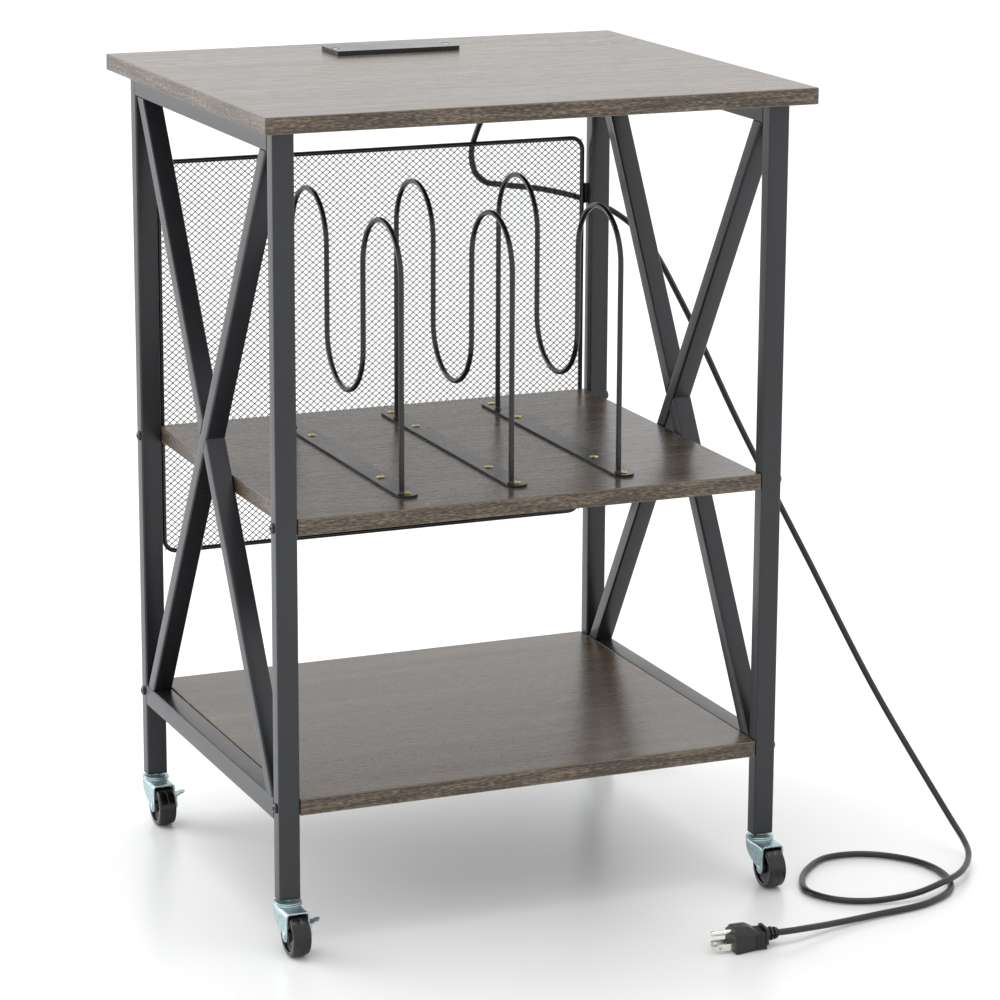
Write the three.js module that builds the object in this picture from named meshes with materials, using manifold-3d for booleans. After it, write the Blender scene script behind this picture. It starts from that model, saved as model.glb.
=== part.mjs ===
// Mobile printer stand: three boards between two welded steel side frames, on four swivel casters,
// with wire file dividers, a mesh back panel and a power unit under the tabletop.
// Millimetres, +Z up, the floor at z = 0, the front towards -Y, the left frame at -X.
import * as THREE from 'three';
import { mergeVertices } from 'three/addons/utils/BufferGeometryUtils.js';
import Module from 'manifold-3d';

const wasm = await Module();
wasm.setup();

// ---------------------------------------------------------------- driving sizes
const stand_width = 520;          // tabletop, left to right
const stand_depth = 450;          // tabletop, front to back
const stand_height = 750;         // floor to the tabletop's upper face
const board_thickness = 15;
const board_edge_round = 0.8;

const side_overhang = 15;         // tabletop beyond the legs' outer faces, in X
const end_overhang = 26;          // tabletop beyond the legs' front and rear faces, in Y
const leg_width = 20;             // leg tube, in X
const leg_depth = 15;             // leg tube, in Y
const rail_height = 20;           // top and bottom rails, in Z
const brace_width = 19;           // brace tube, in X
const brace_thickness = 15;       // brace tube, in the plane of the frame
const brace_corner_gap = 3.5;     // between the brace's end and the leg, at the rail
const tube_wall = 1.2;
const tube_corner = 2;

const bottom_rail_top = 138.5;
const shelf_above_rail = 0.5;     // bottom shelf's top over the bottom rails
const middle_shelf_top = 394.5;

const fit_gap = 0.3;              // between pieces that touch or sit in each other
const weld_gap = 0.2;             // between welded tubes
const shelf_end_gap = 0.5;        // between a shelf's end and the legs

const bolt_radius = 2.5;
const bolt_head_radius = 4.6;
const bolt_head_height = 2.4;
const bolt_in_shelf = 20;         // length of the bolt inside the shelf's end
const bolt_edge_cover = 1.5;      // from the middle shelf's rear edge to its rear bolts
const bolt_socket_radius = 1.7;
const bolt_socket_depth = 1.4;

const rod_radius = 2.25;          // mesh panel's frame
const mesh_side_gap = 5;          // centre line of the upright rods to the legs' inner faces
const mesh_below_top = 86.5;      // centre line of the top rod under the tabletop
const mesh_below_shelf = 126.5;   // centre line of the bottom rod under the middle shelf's top
const mesh_corner = 12;
const mesh_thickness = 1.2;
const mesh_from_leg_rear = 2.6;   // rod centre line to the legs' rear face
const tab_height = 20;
const tab_length = 11;
const tab_thickness = 1.6;
const tab_from_top = 55.5;        // upper tabs under the top rod
const tab_from_bottom = 56;       // lower tabs over the bottom rod
const tab_hole_radius = 1.6;

const divider_pitch = 106;
const strip_width = 20;
const strip_thickness = 2;
const strip_end_inset = 35;       // strip's end from the legs' front or rear face
const strip_screw_inset = 9.5;    // outer screws from the strip's ends
const strip_inner_screw = 90;     // inner screws from the strip's middle
const screw_hole_radius = 2;
const wire_radius = 2.5;
const wire_offset = -4.5;         // wire's plane from the strip's centre line
const wire_front_inset = 10.5;    // first foot from the strip's front end
const wire_rear_inset = 35.5;     // last foot from the strip's rear end
const wire_arch_height = 194.5;   // shelf to the centres of the two upper arches
const wire_valley_height = 115.5; // shelf to the centre of the lower arch

const plate_width = 124;
const plate_depth = 46;
const plate_thickness = 4;
const plate_from_rear = 71;       // plate's middle from the tabletop's rear edge
const plate_screw_spacing = 112;
const housing_height = 44;
const housing_end_inset = 1;
const housing_edge_round = 2;
const housing_pilot_depth = 12;

const cord_radius = 3;
const cord_sides = 8;
const cord_steps = 84;
const relief_radius = 5.5;
const relief_length = 20;
const plug_width = 27;
const plug_block_height = 16.4;
const plug_body_length = 31.5;
const plug_neck_radius = 6;
const plug_neck_length = 13.5;
const plug_grip = 0.34;           // half width of the plug's grip, as a share of its full width
const plug_flange = [2.5, 20, 15.6];        // thickness, width and height of the finger stop
const plug_boss_height = 6.2;     // over the block, round the earth pin
const plug_boss_length = 14;      // along its top
const plug_boss_slope = 9;        // from its top down to the block, towards the cord
const plug_boss_widths = [24, 11];          // at its foot and at its top
const plug_floor_gap = 0.3;
const blade_spacing = 12.7;
const blade_thickness = 1.5;
const blade_length = 17;
const blade_width = 6.3;
const blade_centre = 5.1;         // over the underside of the plug
const earth_pin_radius = 2.4;
const earth_pin_length = 20;
const earth_pin_offset = 11.9;    // from the blades' centre lines

const wheel_radius = 19;
const wheel_width = 17;
const wheel_shoulder = 1.3;
const wheel_rim = 4.5;
const wheel_hub_radius = 5.5;
const wheel_recess = 3;
const wheel_side_gap = 0.8;
const caster_trail = 21.5;        // axle ahead of the swivel axis
const fork_plate = 1.8;
const fork_tip_radius = 5.5;
const fork_rear = 4.5;            // rear edge of the side plates, behind the swivel axis
const fork_rear_low = 25;
const fork_knee = [-9, 19];
const crown_gap = 1.4;            // wheel to the crown's underside
const race_radius = 13.2;
const race_height = 3.2;
const race_groove = 0.7;
const stem_radius = 3;
const stem_in_insert = 20;
const nut_radius = 5.75;
const nut_height = 2;
const peen_radius = 4.6;
const peen_height = 1.2;
const insert_flange = 1.2;
const insert_height = 24;
const insert_clearance = 0.2;     // insert to the inside of the leg tube
const axle_radius = 2.5;
const axle_head_radius = 4;
const axle_head_height = 1.2;
const running_gap = 0.3;

const lever_thickness = 1.5;
const lever_eye_radius = 5;
const lever_arm_height = 10;      // foot tab above the axle
const lever_tab_reach = 9;        // foot tab outwards from the lever, to the start of its point
const lever_tab_point = 3;
const lever_tab_half_width = 5;
const lever_tab_rise = 0.3;       // radians

// ---------------------------------------------------------------- sizes that follow
const board_underside = stand_height - board_thickness;
const leg_outer_x = stand_width / 2 - side_overhang;
const leg_centre_x = leg_outer_x - leg_width / 2;
const leg_inner_x = leg_outer_x - leg_width;
const leg_outer_y = stand_depth / 2 - end_overhang;
const leg_centre_y = leg_outer_y - leg_depth / 2;
const leg_inner_y = leg_outer_y - leg_depth;
const leg_top = board_underside - fit_gap;
const top_rail_bottom = leg_top - rail_height;

const mesh_plane = leg_outer_y - mesh_from_leg_rear;
const middle_shelf_rear = mesh_plane - rod_radius - fit_gap;
const shelf_end_x = leg_inner_x - shelf_end_gap;
const middle_rear_bolt_y = middle_shelf_rear - bolt_radius - bolt_edge_cover;
const mesh_half_width = leg_inner_x - mesh_side_gap;
const mesh_top = board_underside - mesh_below_top;
const mesh_bottom = middle_shelf_top - mesh_below_shelf;
const tab_centres = [mesh_top - tab_from_top, mesh_bottom + tab_from_bottom];

const strip_half_length = leg_outer_y - strip_end_inset;
const strip_screw_end = strip_half_length - strip_screw_inset;
const strip_screws = [-strip_screw_end, -strip_inner_screw, strip_inner_screw, strip_screw_end];
const wire_first = -strip_half_length + wire_front_inset;
const wire_last = strip_half_length - wire_rear_inset;
const wire_centre = (wire_first + wire_last) / 2;
const wire_bend = (wire_last - wire_first) / 6;      // bend radius of the arches, on the centre line
const plate_centre = stand_depth / 2 - plate_from_rear;

const bottom_shelf_top = bottom_rail_top + shelf_above_rail;
const brace_run_top = top_rail_bottom - weld_gap;
const brace_run_bottom = bottom_rail_top + weld_gap;
const brace_middle = (brace_run_top + brace_run_bottom) / 2;
const brace_lean = find_brace_lean();

const wheel_half = wheel_width / 2;
const fork_inner = wheel_half + wheel_side_gap;
const fork_outer = fork_inner + fork_plate;
const crown_underside = 2 * wheel_radius + crown_gap;
const crown_top = crown_underside + fork_plate;
const race_top = crown_top + race_height;
const leg_underside = race_top + running_gap + nut_height + fit_gap;
const leg_bottom = leg_underside + insert_flange + fit_gap;
const footprint_shift = (leg_centre_y + caster_trail + wheel_radius - stand_depth / 2) / 2;

// The brace's lean from the upright, so that its end corner stays brace_corner_gap from the leg.
function find_brace_lean() {
  const half_rise = (brace_run_top - brace_run_bottom) / 2;
  const reach = leg_inner_y - brace_corner_gap;
  const diagonal = Math.hypot(half_rise, reach);
  return Math.atan2(reach, half_rise) - Math.asin(brace_thickness / 2 / diagonal);
}

// ---------------------------------------------------------------- materials
const finishes = {
  oak_top: new THREE.MeshStandardMaterial({ color: 0xb9aea3, roughness: 0.45, metalness: 0 }),
  oak_shelf: new THREE.MeshStandardMaterial({ color: 0x84766c, roughness: 0.35, metalness: 0 }),
  powder_coat: new THREE.MeshStandardMaterial({ color: 0x4a4c50, roughness: 0.5, metalness: 0.3 }),
  black_steel: new THREE.MeshStandardMaterial({ color: 0x1b1b1c, roughness: 0.45, metalness: 0.3 }),
  zinc: new THREE.MeshStandardMaterial({ color: 0xc9d4d7, roughness: 0.3, metalness: 0.9 }),
  black_plastic: new THREE.MeshStandardMaterial({ color: 0x191919, roughness: 0.5, metalness: 0 }),
  cord_rubber: new THREE.MeshStandardMaterial({ color: 0x1d1d1d, roughness: 0.6, metalness: 0 }),
};

const stand = new THREE.Group();
stand.name = 'printer_stand';
stand.position.y = footprint_shift;

function add(name, geometry, finish, parent = stand) {
  const mesh = new THREE.Mesh(geometry, finish);
  mesh.name = name;
  parent.add(mesh);
  return mesh;
}

// ---------------------------------------------------------------- solids
function solid_of(geometry) {
  const bare = geometry.clone();
  bare.deleteAttribute('normal');
  bare.deleteAttribute('uv');
  const merged = mergeVertices(bare, 1e-4);
  const mesh = new wasm.Mesh({
    numProp: 3,
    vertProperties: new Float32Array(merged.attributes.position.array),
    triVerts: new Uint32Array(merged.index.array),
  });
  return new wasm.Manifold(mesh);
}

function geometry_of(solid) {
  const mesh = solid.getMesh();
  const geometry = new THREE.BufferGeometry();
  geometry.setAttribute('position', new THREE.BufferAttribute(new Float32Array(mesh.vertProperties), 3));
  geometry.setIndex(new THREE.BufferAttribute(new Uint32Array(mesh.triVerts), 1));
  geometry.computeVertexNormals();
  return geometry;
}

// A box between two corners.
function block(low, high) {
  const size = high.map((value, axis) => value - low[axis]);
  const middle = high.map((value, axis) => (value + low[axis]) / 2);
  return new THREE.BoxGeometry(...size).translate(...middle);
}

// A round bar or a cutter for a round hole, along one axis from `start` to `end`.
function bar(axis, radius, start, end, across, sides = 16) {
  const geometry = new THREE.CylinderGeometry(radius, radius, end - start, sides);
  const middle = (start + end) / 2;
  if (axis === 'x') {
    return geometry.rotateZ(-Math.PI / 2).translate(middle, across[0], across[1]);
  }
  if (axis === 'y') {
    return geometry.translate(across[0], middle, across[1]);
  }
  return geometry.rotateX(Math.PI / 2).translate(across[0], across[1], middle);
}

// A ring or shaft turned about X or Z from its outline of [radius, place along the axis], which runs
// from the low end out, up and back in at the high end.
function turned(outline, axis, sides) {
  const closed = [...outline, outline[0]].map(([radius, along]) => new THREE.Vector2(radius, along));
  const geometry = new THREE.LatheGeometry(closed, sides);
  return axis === 'x' ? geometry.rotateZ(-Math.PI / 2) : geometry.rotateX(Math.PI / 2);
}

function rounded_rectangle(width, height, radius, target = new THREE.Shape()) {
  const x = width / 2 - radius;
  const y = height / 2 - radius;
  target.absarc(x, y, radius, 0, Math.PI / 2);
  target.absarc(-x, y, radius, Math.PI / 2, Math.PI);
  target.absarc(-x, -y, radius, Math.PI, 1.5 * Math.PI);
  target.absarc(x, -y, radius, 1.5 * Math.PI, 2 * Math.PI);
  return target;
}

// Rectangular tube along Z, open at both ends.
function tube(width, depth, bottom, top) {
  const section = rounded_rectangle(width, depth, tube_corner);
  const bore_width = width - 2 * tube_wall;
  const bore_depth = depth - 2 * tube_wall;
  section.holes.push(rounded_rectangle(bore_width, bore_depth, tube_corner - tube_wall, new THREE.Path()));
  const options = { depth: top - bottom, bevelEnabled: false, curveSegments: 2 };
  return new THREE.ExtrudeGeometry(section, options).translate(0, 0, bottom);
}

// Bar with a round section along a curve.
function swept(curve, radius, sides, steps) {
  const section = new THREE.Shape();
  section.absarc(0, 0, radius, 0, 2 * Math.PI);
  const options = { steps, extrudePath: curve, bevelEnabled: false, curveSegments: sides / 2 };
  return new THREE.ExtrudeGeometry(section, options);
}

function cut(solid, cutters) {
  return cutters.reduce((rest, cutter) => rest.subtract(solid_of(cutter)), solid);
}

function join(geometries) {
  return geometries.map(solid_of).reduce((whole, next) => whole.add(next));
}

// ---------------------------------------------------------------- boards
function board(width, front, rear, top) {
  const outline = rounded_rectangle(width - 2 * board_edge_round, rear - front - 2 * board_edge_round, 0.5);
  const options = {
    depth: board_thickness - 2 * board_edge_round,
    bevelSize: board_edge_round,
    bevelThickness: board_edge_round,
    bevelSegments: 2,
    curveSegments: 1,
  };
  const bottom = top - board_thickness + board_edge_round;
  return new THREE.ExtrudeGeometry(outline, options).translate(0, (front + rear) / 2, bottom);
}

const shelf_bolts = [
  { shelf: 'middle', row: 'front', y: -leg_centre_y, z: middle_shelf_top - board_thickness / 2 },
  { shelf: 'middle', row: 'rear', y: middle_rear_bolt_y, z: middle_shelf_top - board_thickness / 2 },
  { shelf: 'bottom', row: 'front', y: -leg_centre_y, z: bottom_shelf_top - board_thickness / 2 },
  { shelf: 'bottom', row: 'rear', y: leg_centre_y, z: bottom_shelf_top - board_thickness / 2 },
];
const bolt_hole_radius = bolt_radius + 2 * fit_gap;

function bolt_holes_in(shelf) {
  const inner = shelf_end_x - bolt_in_shelf - 1;
  return shelf_bolts.filter((bolt) => bolt.shelf === shelf).flatMap((bolt) => [
    bar('x', bolt_hole_radius, inner, shelf_end_x + 1, [bolt.y, bolt.z], 8),
    bar('x', bolt_hole_radius, -shelf_end_x - 1, -inner, [bolt.y, bolt.z], 8),
  ]);
}

function add_boards() {
  const plate_holes = [-1, 1].map((side) =>
    bar('z', screw_hole_radius, board_underside - 1, stand_height + 1,
      [side * plate_screw_spacing / 2, plate_centre], 12));
  const top = solid_of(board(stand_width, -stand_depth / 2, stand_depth / 2, stand_height));
  add('tabletop', geometry_of(cut(top, plate_holes)), finishes.oak_top);

  const middle = solid_of(board(2 * shelf_end_x, -leg_outer_y, middle_shelf_rear, middle_shelf_top));
  add('middle_shelf', geometry_of(cut(middle, bolt_holes_in('middle'))), finishes.oak_shelf);

  const bottom = solid_of(board(2 * shelf_end_x, -leg_outer_y, leg_outer_y, bottom_shelf_top));
  add('bottom_shelf', geometry_of(cut(bottom, bolt_holes_in('bottom'))), finishes.oak_shelf);
}

// ---------------------------------------------------------------- side frames
function leg(row) {
  const centre_y = row === 'front' ? -leg_centre_y : leg_centre_y;
  const upright = tube(leg_width, leg_depth, leg_bottom, leg_top).translate(0, centre_y, 0);
  const holes = shelf_bolts.filter((bolt) => bolt.row === row).map((bolt) =>
    bar('x', bolt_hole_radius, -leg_width, leg_width, [bolt.y, bolt.z], 8));
  return geometry_of(cut(solid_of(upright), holes));
}

function rail(bottom) {
  const reach = leg_inner_y - weld_gap;
  return tube(leg_width, rail_height, -reach, reach)
    .rotateX(-Math.PI / 2)
    .translate(0, 0, bottom + rail_height / 2);
}

// Brace tube or its outer envelope, leaning towards the front at the top when `lean` is positive.
function leaning_tube(lean, hollow, extra) {
  const reach = brace_run_top - brace_run_bottom;
  const width = brace_width + 2 * extra;
  const thickness = brace_thickness + 2 * extra;
  const straight = hollow
    ? tube(width, thickness, -reach, reach)
    : block([-width / 2, -thickness / 2, -reach], [width / 2, thickness / 2, reach]);
  return straight.rotateX(lean).translate(0, 0, brace_middle);
}

function brace_between(geometry, bottom, top) {
  const slab = block([-leg_width, -stand_depth, bottom], [leg_width, stand_depth, top]);
  return solid_of(geometry).intersect(solid_of(slab));
}

function add_side_frame(side, centre_x) {
  const frame = new THREE.Group();
  frame.position.x = centre_x;
  stand.add(frame);
  const coat = finishes.powder_coat;
  add(`${side}_front_leg`, leg('front'), coat, frame);
  add(`${side}_rear_leg`, leg('rear'), coat, frame);
  add(`${side}_top_rail`, rail(top_rail_bottom), coat, frame);
  add(`${side}_bottom_rail`, rail(bottom_rail_top - rail_height), coat, frame);

  const whole = brace_between(leaning_tube(brace_lean, true, 0), brace_run_bottom, brace_run_top);
  add(`${side}_brace_long`, geometry_of(whole), coat, frame);
  const path_of_whole = solid_of(leaning_tube(brace_lean, false, weld_gap));
  const crossing = leaning_tube(-brace_lean, true, 0);
  const upper = brace_between(crossing, brace_middle, brace_run_top).subtract(path_of_whole);
  const lower = brace_between(crossing, brace_run_bottom, brace_middle).subtract(path_of_whole);
  add(`${side}_brace_upper`, geometry_of(upper), coat, frame);
  add(`${side}_brace_lower`, geometry_of(lower), coat, frame);
}

// Button head bolt along +X, its head's seat at x = 0 and its shank towards +X.
function shelf_bolt() {
  const length = leg_width + shelf_end_gap + bolt_in_shelf;
  const outline = [
    [0, -bolt_head_height], [0.6 * bolt_head_radius, -bolt_head_height],
    [bolt_head_radius, -0.4 * bolt_head_height], [bolt_head_radius, 0], [bolt_radius, 0],
    [bolt_radius, length], [0, length],
  ];
  const socket = bar('x', bolt_socket_radius, -bolt_head_height - 1, -bolt_head_height + bolt_socket_depth,
    [0, 0], 6);
  return cut(solid_of(turned(outline, 'x', 8)), [socket]);
}

function add_shelf_bolts() {
  const bolt_geometry = geometry_of(shelf_bolt());
  for (const [side, sign] of [['left', -1], ['right', 1]]) {
    for (const bolt of shelf_bolts) {
      const mesh = add(`${side}_${bolt.row}_${bolt.shelf}_shelf_bolt`, bolt_geometry, finishes.black_steel);
      mesh.position.set(sign * (leg_outer_x + fit_gap), bolt.y, bolt.z);
      mesh.rotation.z = sign > 0 ? Math.PI : 0;
    }
  }
}

// ---------------------------------------------------------------- mesh back panel
function add_mesh_panel() {
  const height = mesh_top - mesh_bottom;
  const middle = (mesh_top + mesh_bottom) / 2;
  const outer = rounded_rectangle(2 * (mesh_half_width + rod_radius), height + 2 * rod_radius,
    mesh_corner + rod_radius);
  outer.holes.push(rounded_rectangle(2 * (mesh_half_width - rod_radius), height - 2 * rod_radius,
    mesh_corner - rod_radius, new THREE.Path()));
  const bevel = 0.6 * rod_radius;
  const ring = new THREE.ExtrudeGeometry(outer, {
    depth: 2 * (rod_radius - bevel),
    bevelThickness: bevel,
    bevelSize: bevel,
    bevelOffset: -bevel,
    bevelSegments: 1,
    curveSegments: 2,
  }).translate(0, 0, -(rod_radius - bevel));
  const tabs = [];
  for (const sign of [-1, 1]) {
    for (const centre of tab_centres) {
      const far = leg_inner_x - fit_gap;
      const xs = [sign * (far - tab_thickness), sign * far].sort((a, b) => a - b);
      const low = centre - middle - tab_height / 2;
      tabs.push(block([xs[0], low, -rod_radius], [xs[1], low + tab_height, tab_length - rod_radius]));
      const weld = [sign * mesh_half_width, sign * (far - tab_thickness / 2)].sort((a, b) => a - b);
      tabs.push(block([weld[0], low, -0.5 * rod_radius], [weld[1], low + tab_height, 0.5 * rod_radius]));
    }
  }
  const holes = tab_centres.flatMap((centre) =>
    [bar('x', tab_hole_radius, -leg_outer_x, leg_outer_x,
      [centre - middle, tab_length / 2 + rod_radius / 2], 12)]);
  const frame = cut(join([ring, ...tabs]), holes);
  const upright = (geometry) => geometry.rotateX(Math.PI / 2).translate(0, mesh_plane, middle);
  add('mesh_frame', upright(geometry_of(frame)), finishes.black_steel);

  const inset = rod_radius + fit_gap;
  const sheet = rounded_rectangle(2 * (mesh_half_width - inset), height - 2 * inset, mesh_corner - inset);
  const options = { depth: mesh_thickness, bevelEnabled: false, curveSegments: 2 };
  const sheet_geometry = new THREE.ExtrudeGeometry(sheet, options).translate(0, 0, -mesh_thickness / 2);
  add('mesh_sheet', upright(sheet_geometry), finishes.black_steel);
}

// ---------------------------------------------------------------- file dividers
function divider_strip() {
  const half = strip_width / 2;
  const outline = rounded_rectangle(strip_width, 2 * strip_half_length, half - 0.5);
  const options = { depth: strip_thickness, bevelEnabled: false, curveSegments: 3 };
  const strip = new THREE.ExtrudeGeometry(outline, options);
  const holes = strip_screws.map((y) => bar('z', screw_hole_radius, -1, strip_thickness + 1, [0, y], 12));
  return geometry_of(cut(solid_of(strip), holes));
}

// The wire's centre line in the YZ plane: up, over, down, under, up, over and down again.
function divider_wire() {
  const foot = strip_thickness + fit_gap;
  const arches = [
    { y: -2 * wire_bend, z: wire_arch_height, turn: 1 },
    { y: 0, z: wire_valley_height, turn: -1 },
    { y: 2 * wire_bend, z: wire_arch_height, turn: 1 },
  ];
  const path = new THREE.CurvePath();
  let last = new THREE.Vector3(0, -3 * wire_bend, foot);
  for (const { y, z, turn } of arches) {
    const start = new THREE.Vector3(0, y - wire_bend, z);
    path.add(new THREE.LineCurve3(last, start));
    last = new THREE.Vector3(0, y + wire_bend, z);
    path.add(new Arch(y, z, turn));
  }
  path.add(new THREE.LineCurve3(last, new THREE.Vector3(0, 3 * wire_bend, foot)));
  return swept(path, wire_radius, 8, 50);
}

// Half circle in the YZ plane from front to rear, over the top when `turn` is 1.
class Arch extends THREE.Curve {
  constructor(y, z, turn) {
    super();
    this.y = y;
    this.z = z;
    this.turn = turn;
  }

  getPoint(t, target = new THREE.Vector3()) {
    const angle = Math.PI * (1 - t);
    const rise = this.turn * wire_bend * Math.sin(angle);
    return target.set(0, this.y + wire_bend * Math.cos(angle), this.z + rise);
  }
}

function add_dividers() {
  const strip_geometry = divider_strip();
  const wire_geometry = divider_wire();
  [-1, 0, 1].forEach((place, index) => {
    const x = place * divider_pitch;
    const strip = add(`divider_strip_${index + 1}`, strip_geometry, finishes.black_steel);
    strip.position.set(x, 0, middle_shelf_top + fit_gap);
    const wire = add(`divider_wire_${index + 1}`, wire_geometry, finishes.black_steel);
    wire.position.set(x + wire_offset, wire_centre, middle_shelf_top + fit_gap);
  });
}

// ---------------------------------------------------------------- power unit and cord
const housing_top = board_underside - fit_gap;
const housing_bottom = housing_top - housing_height;
const housing_end = plate_width / 2 - housing_end_inset;
const relief_height = (housing_top + housing_bottom) / 2;

// The cord's centre line in the stand's own frame, before the footprint shift. The first point follows
// the strain relief and the last one follows the plug. Between them the points are chosen by hand: down
// behind the mesh panel, past the rear right leg, sagging to the floor and round one loop.
const relief_end = housing_end + fit_gap + relief_length + fit_gap;
const cord_points = [
  // straight out of the relief, then back and down behind the mesh panel
  [relief_end, plate_centre, relief_height],
  [87, plate_centre, relief_height],
  [101, 158, 709],
  [110, 169, 698],
  [112, 186, 682],
  [109, 200, 662],
  [105, 206, 639],
  [109, 206, 619],
  [119, 206, 609],
  [137, 206, 605],
  // along behind the panel, and round the leg
  [185, 206, 597],
  [238, 206, 581],
  [262, 199, 568],
  [280, 172, 546],
  // one long slope down to the floor
  [298, 121, 487],
  [326, 50, 380],
  [363, -27, 262],
  [400, -108, 142],
  [440, -190, 34],
  [443, -214, 17],
  [434, -238, 12],
  // over its own tail, and a loose loop on the floor, clear of the turning caster
  [408, -270, 10],
  [376, -290, 10],
  [340, -300, 7],
  [300, -293, 3.5],
  [270, -275, 3.3],
  [258, -247, 3.3],
  [266, -220, 3.3],
  [284, -195, 3.3],
  [316, -172, 3.3],
  [355, -176, 3.3],
  [389, -208, 3.3],
  [399, -248, 3.3],
  [384, -292, 3.3],
  // away to the plug
  [345, -317, 3.3],
  [285, -327, 3.6],
  [235, -338, 6],
  [206, -347, 9.3],
  [184, -352, 11.3],
];
const plug_end = [173, -351.3, 11.3];       // where the cord enters the plug's neck
const plug_heading = Math.PI - 0.07;     // direction in which the prongs point, from +X

function add_power_unit() {
  const holes = (low, high) => [-1, 1].map((side) =>
    bar('z', screw_hole_radius, low, high, [side * plate_screw_spacing / 2, plate_centre], 12));
  const rectangle = rounded_rectangle(plate_width, plate_depth, 1.5);
  const plate = new THREE.ExtrudeGeometry(rectangle, {
    depth: plate_thickness - 1, bevelSize: 0.5, bevelOffset: -0.5, bevelThickness: 0.5, bevelSegments: 1,
    curveSegments: 2,
  }).translate(0, plate_centre, stand_height + fit_gap + 0.5);
  const plate_top = stand_height + fit_gap + plate_thickness;
  const plate_solid = cut(solid_of(plate), holes(stand_height - 1, plate_top + 1));
  add('power_plate', geometry_of(plate_solid), finishes.black_steel);

  const section = rounded_rectangle(2 * housing_end, plate_depth, housing_edge_round);
  const housing = new THREE.ExtrudeGeometry(section, {
    depth: housing_height - 2, bevelSize: 1, bevelOffset: -1, bevelThickness: 1, bevelSegments: 1,
    curveSegments: 2,
  }).translate(0, plate_centre, housing_bottom + 1);
  const housing_solid = cut(solid_of(housing), holes(housing_top - housing_pilot_depth, housing_top + 1));
  add('power_housing', geometry_of(housing_solid), finishes.black_plastic);

  const relief_outline = [
    [0, 0], [relief_radius + 1, 0], [relief_radius + 1, 2], [relief_radius, 2],
    [cord_radius + 1, relief_length], [0, relief_length],
  ];
  const relief = turned(relief_outline, 'x', 16)
    .translate(housing_end + fit_gap, plate_centre, relief_height);
  add('cord_relief', relief, finishes.cord_rubber);
}

function add_cord() {
  const points = [...cord_points, plug_end].map(([x, y, z]) => new THREE.Vector3(x, y, z));
  const route = new THREE.CatmullRomCurve3(points, false, 'centripetal');
  add('power_cord', swept(route, cord_radius, cord_sides, cord_steps), finishes.cord_rubber);
}

// A box from `start` to `end` along X with its upper face narrower and shorter than its foot.
function plug_boss(start, end, foot, top) {
  const geometry = new THREE.BoxGeometry(1, 1, 1);
  const corners = geometry.attributes.position;
  for (let index = 0; index < corners.count; index += 1) {
    const is_top = corners.getZ(index) > 0 ? 1 : 0;
    const rear = start + is_top * plug_boss_slope;
    const half_width = plug_boss_widths[is_top] / 2;
    corners.setXYZ(index, corners.getX(index) > 0 ? end : rear,
      Math.sign(corners.getY(index)) * half_width, is_top ? top : foot);
  }
  return geometry;
}

// The plug lies on its blades' side, prongs ahead, with the earth pin in the boss on top.
function add_plug() {
  const underside = plug_floor_gap - plug_end[2];
  const neck_outline = [
    [0, 0], [cord_radius + 0.8, 0], [plug_neck_radius, plug_neck_length], [0, plug_neck_length],
  ];
  const grip = plug_grip * plug_width;
  const grip_length = 0.35 * plug_body_length;
  const outline = new THREE.Shape();
  outline.moveTo(0, -grip);
  outline.lineTo(grip_length, -grip);
  outline.lineTo(plug_body_length, -plug_width / 2);
  outline.lineTo(plug_body_length, plug_width / 2);
  outline.lineTo(grip_length, grip);
  outline.lineTo(0, grip);
  outline.closePath();
  const body = new THREE.ExtrudeGeometry(outline, {
    depth: plug_block_height - 2, bevelSize: 1, bevelOffset: -1, bevelThickness: 1, bevelSegments: 1,
  }).translate(plug_neck_length, 0, underside + 1);
  const [flange_thickness, flange_width, flange_height] = plug_flange;
  const flange = block([plug_neck_length - flange_thickness / 2, -flange_width / 2, -flange_height / 2],
    [plug_neck_length + flange_thickness / 2, flange_width / 2, flange_height / 2]);
  const face = plug_neck_length + plug_body_length;
  const block_top = underside + plug_block_height;
  const boss = plug_boss(face - 0.5 - plug_boss_length - plug_boss_slope, face - 0.5,
    block_top - 1, block_top + plug_boss_height);
  const blade_height = underside + blade_centre;
  const blades = [-blade_spacing / 2, blade_spacing / 2].map((y) =>
    block([face - 1, y - blade_thickness / 2, blade_height - blade_width / 2],
      [face + blade_length, y + blade_thickness / 2, blade_height + blade_width / 2]));
  const earth_pin = bar('x', earth_pin_radius, face - 1, face + earth_pin_length,
    [0, blade_height + earth_pin_offset], 12);
  const plug = join([turned(neck_outline, 'x', 16), flange, body, boss, ...blades, earth_pin]);
  const mesh = add('power_plug', geometry_of(plug), finishes.cord_rubber);
  const ahead = [Math.cos(plug_heading) * fit_gap, Math.sin(plug_heading) * fit_gap];
  mesh.position.set(plug_end[0] + ahead[0], plug_end[1] + ahead[1], plug_end[2]);
  mesh.rotation.z = plug_heading;
}

// ---------------------------------------------------------------- casters
function leg_insert() {
  const clear = 2 * tube_wall + 2 * insert_clearance;
  const flange = new THREE.ExtrudeGeometry(rounded_rectangle(leg_width, leg_depth, tube_corner),
    { depth: insert_flange, bevelEnabled: false, curveSegments: 2 }).translate(0, 0, leg_underside);
  const boss_radius = tube_corner - tube_wall;
  const boss_section = rounded_rectangle(leg_width - clear, leg_depth - clear, boss_radius);
  const boss = new THREE.ExtrudeGeometry(boss_section,
    { depth: insert_height, bevelEnabled: false, curveSegments: 1 }).translate(0, 0, leg_underside + 0.5);
  const bore = bar('z', stem_radius + fit_gap, leg_underside - 1, leg_underside + stem_in_insert + 1, [0, 0], 12);
  return geometry_of(cut(join([flange, boss]), [bore]));
}

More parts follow.
